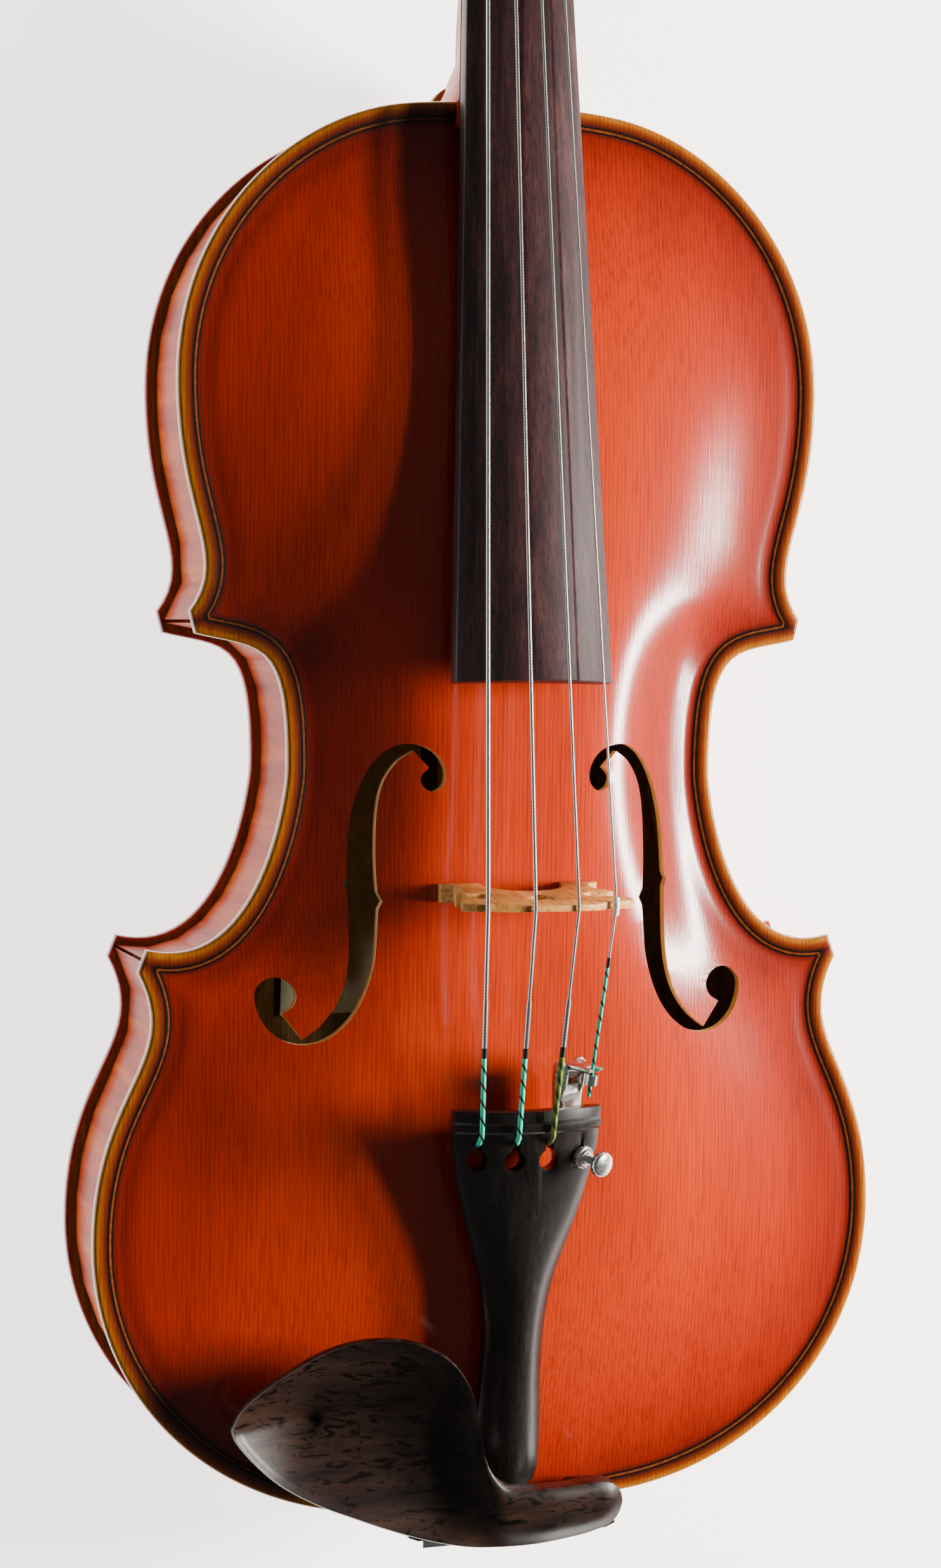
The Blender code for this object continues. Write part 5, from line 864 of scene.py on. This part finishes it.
def chin_rest(material):
    """The cup and bar, drawn in loops from the underside round the edge and into the cup."""
    curve = np.array(rounded(REST_OUTLINE, REST_OUTLINE[:1], 6))
    turn = 6 * REST_OUTLINE.index(REST_TIP)
    upper = even(curve[:turn + 1], count=REST_HALF_POINTS)
    lower = even(np.vstack([curve[turn:], curve[:1]]), count=REST_HALF_POINTS)
    rim = np.vstack([upper[:-1], lower[:-1]])
    dense = even(REST_SPINE[::-1], count=400)
    pairs = (upper + lower[::-1]) / 2
    nearest = np.linalg.norm(pairs[:, None] - dense[None], axis=2).argmin(axis=1)
    along = np.maximum.accumulate(nearest).astype(float)
    for _ in range(30):
        along[1:-1] = (along[:-2] + 2.0 * along[1:-1] + along[2:]) / 4.0
    along = np.concatenate([along[:-1], along[::-1][:-1]])
    spine = np.stack([np.interp(along, np.arange(400), dense[:, k]) for k in (0, 1)], axis=1)
    bar = np.clip((spine[:, 0] + 26.0) / 22.0, 0.0, 1.0)
    bar = bar * bar * (3.0 - 2.0 * bar)
    edge = np.array([rest_rim(x, y) for x, y in rim])
    for _ in range(6):
        edge = (np.roll(edge, 1) + 2.0 * edge + np.roll(edge, -1)) / 4.0
    middle = (edge + np.roll(edge[::-1], 1)) / 2.0

    def top(share):
        level = edge + (middle - edge) * share * share * (3.0 - 2.0 * share)
        cup = level - REST_CUP * math.sin(math.pi / 2 * share)
        crown = level + 2.6 * math.sin(math.pi / 2 * min(1.0, share * 1.3))
        return cup * (1.0 - bar) + crown * bar

    bm = bmesh.new()
    loop = None
    under = [(share, "under") for share in (1.0, 0.9, 0.7, 0.5, 0.3, 0.12)]
    side = [(0.03, "curl"), (0.0, "side_low"), (0.0, "side_mid"), (0.006, "side_top")]
    upper = [(share, "top") for share in (0.02, 0.045, 0.08, 0.13, 0.2, 0.3, 0.42, 0.55, 0.7, 0.85, 1.0)]
    for share, level in under + side + upper:
        points = rim + (spine - rim) * share
        low = edge - REST_RIM - (REST_BAR - REST_RIM - 4.5) * bar
        if level == "top":
            lip = 0.35 * math.exp(-((share - 0.03) / 0.03) ** 2)
            heights = top(share) + lip * (1.0 - bar)
        elif level == "side_top":
            heights = edge - 0.3
        elif level == "side_mid":
            heights = (edge + low) / 2
        elif level == "side_low":
            heights = low
        elif level == "curl":
            heights = low - 0.8
        else:
            thick = REST_PLATE * (1.0 - bar) + (REST_BAR + 0.5) * bar
            level = edge + (middle - edge) * share * share * (3.0 - 2.0 * share)
            heights = np.minimum(top(share) - thick, level - REST_RIM - 1.0)
            flat = 58.2 + 3.4 * np.clip(1.5 - abs(points[:, 0]) / 12.0, 0.0, 1.0)
            heights = heights * (1.0 - bar) + flat * bar
        places = [spot(x, y, z) for (x, y), z in zip(points, heights)]
        loop = grow(bm, loop, places) if loop else first_loop(bm, places)
    bmesh.ops.remove_doubles(bm, verts=bm.verts, dist=0.004 * MM)
    bmesh.ops.dissolve_degenerate(bm, edges=bm.edges, dist=0.002 * MM)
    bmesh.ops.triangulate(bm, faces=bm.faces)
    piece = piece_from(bm, "chin_rest_polished", material, sharp=50.0)
    leg_low = RIB_HEIGHT + 6.9
    for (x0, x1), leg_high in zip(REST_LEGS, (58.6, 61.5)):
        outline = [(x0, 1.4), (x0 + 3.0, 0.2), (x1 - 3.0, 0.2), (x1, 1.4), (x1, 9.0), (x1 - 3.0, 11.5),
                   (x0 + 3.0, 11.5), (x0, 9.0)]
        carve(piece, block(outline, leg_low, leg_high), "UNION")
    piece.data.shade_smooth()
    piece.data.set_sharp_from_angle(angle=math.radians(50.0))
    return piece


rest_ebony, tree, shader = finish("streaked_ebony", 0.34, coat=0.15, coat_roughness=0.2, specular=0.35)
streaks = wood_grain(tree, (0.02, 0.16, 0.05), 5.0, 0.8)
colour = ramp(tree, streaks, ((0.3, "#140E0D"), (0.48, "#261915"), (0.7, "#33231C")))
specks = wood_grain(tree, (0.14, 0.42, 0.2), 6.0, 1.2)
bands = ramp(tree, specks, ((0.4, "#141010"), (0.47, "#FFFFFF")))
colour = blended(tree, "MULTIPLY", 0.85, colour, bands)
tree.links.new(colour, shader.inputs["Base Color"])
rest = chin_rest(rest_ebony)
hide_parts("chin_rest")
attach(rest, "body")


# Inside the body
# Linings, blocks, bass bar and sound post are left bare, and a slip of paper is glued to the back, where it
# shows through the bass f-hole. It carries nothing.

inner_wood = bare_wood("bare_spruce_and_willow", "#A88454", "#866238")
label_paper, tree, shader = finish("aged_rag_paper", 0.9, specular=0.2)
mottle = wood_grain(tree, (0.12, 0.12, 0.12), 5.0)
tree.links.new(ramp(tree, mottle, ((0.35, "#D8CFA6"), (0.65, "#EEE6C2"))), shader.inputs["Base Color"])
for node, item in frame["nodes"].items():
    if item.hide_render:
        continue
    for slot in item.material_slots:
        slot.material = label_paper if node == "label" else inner_wood
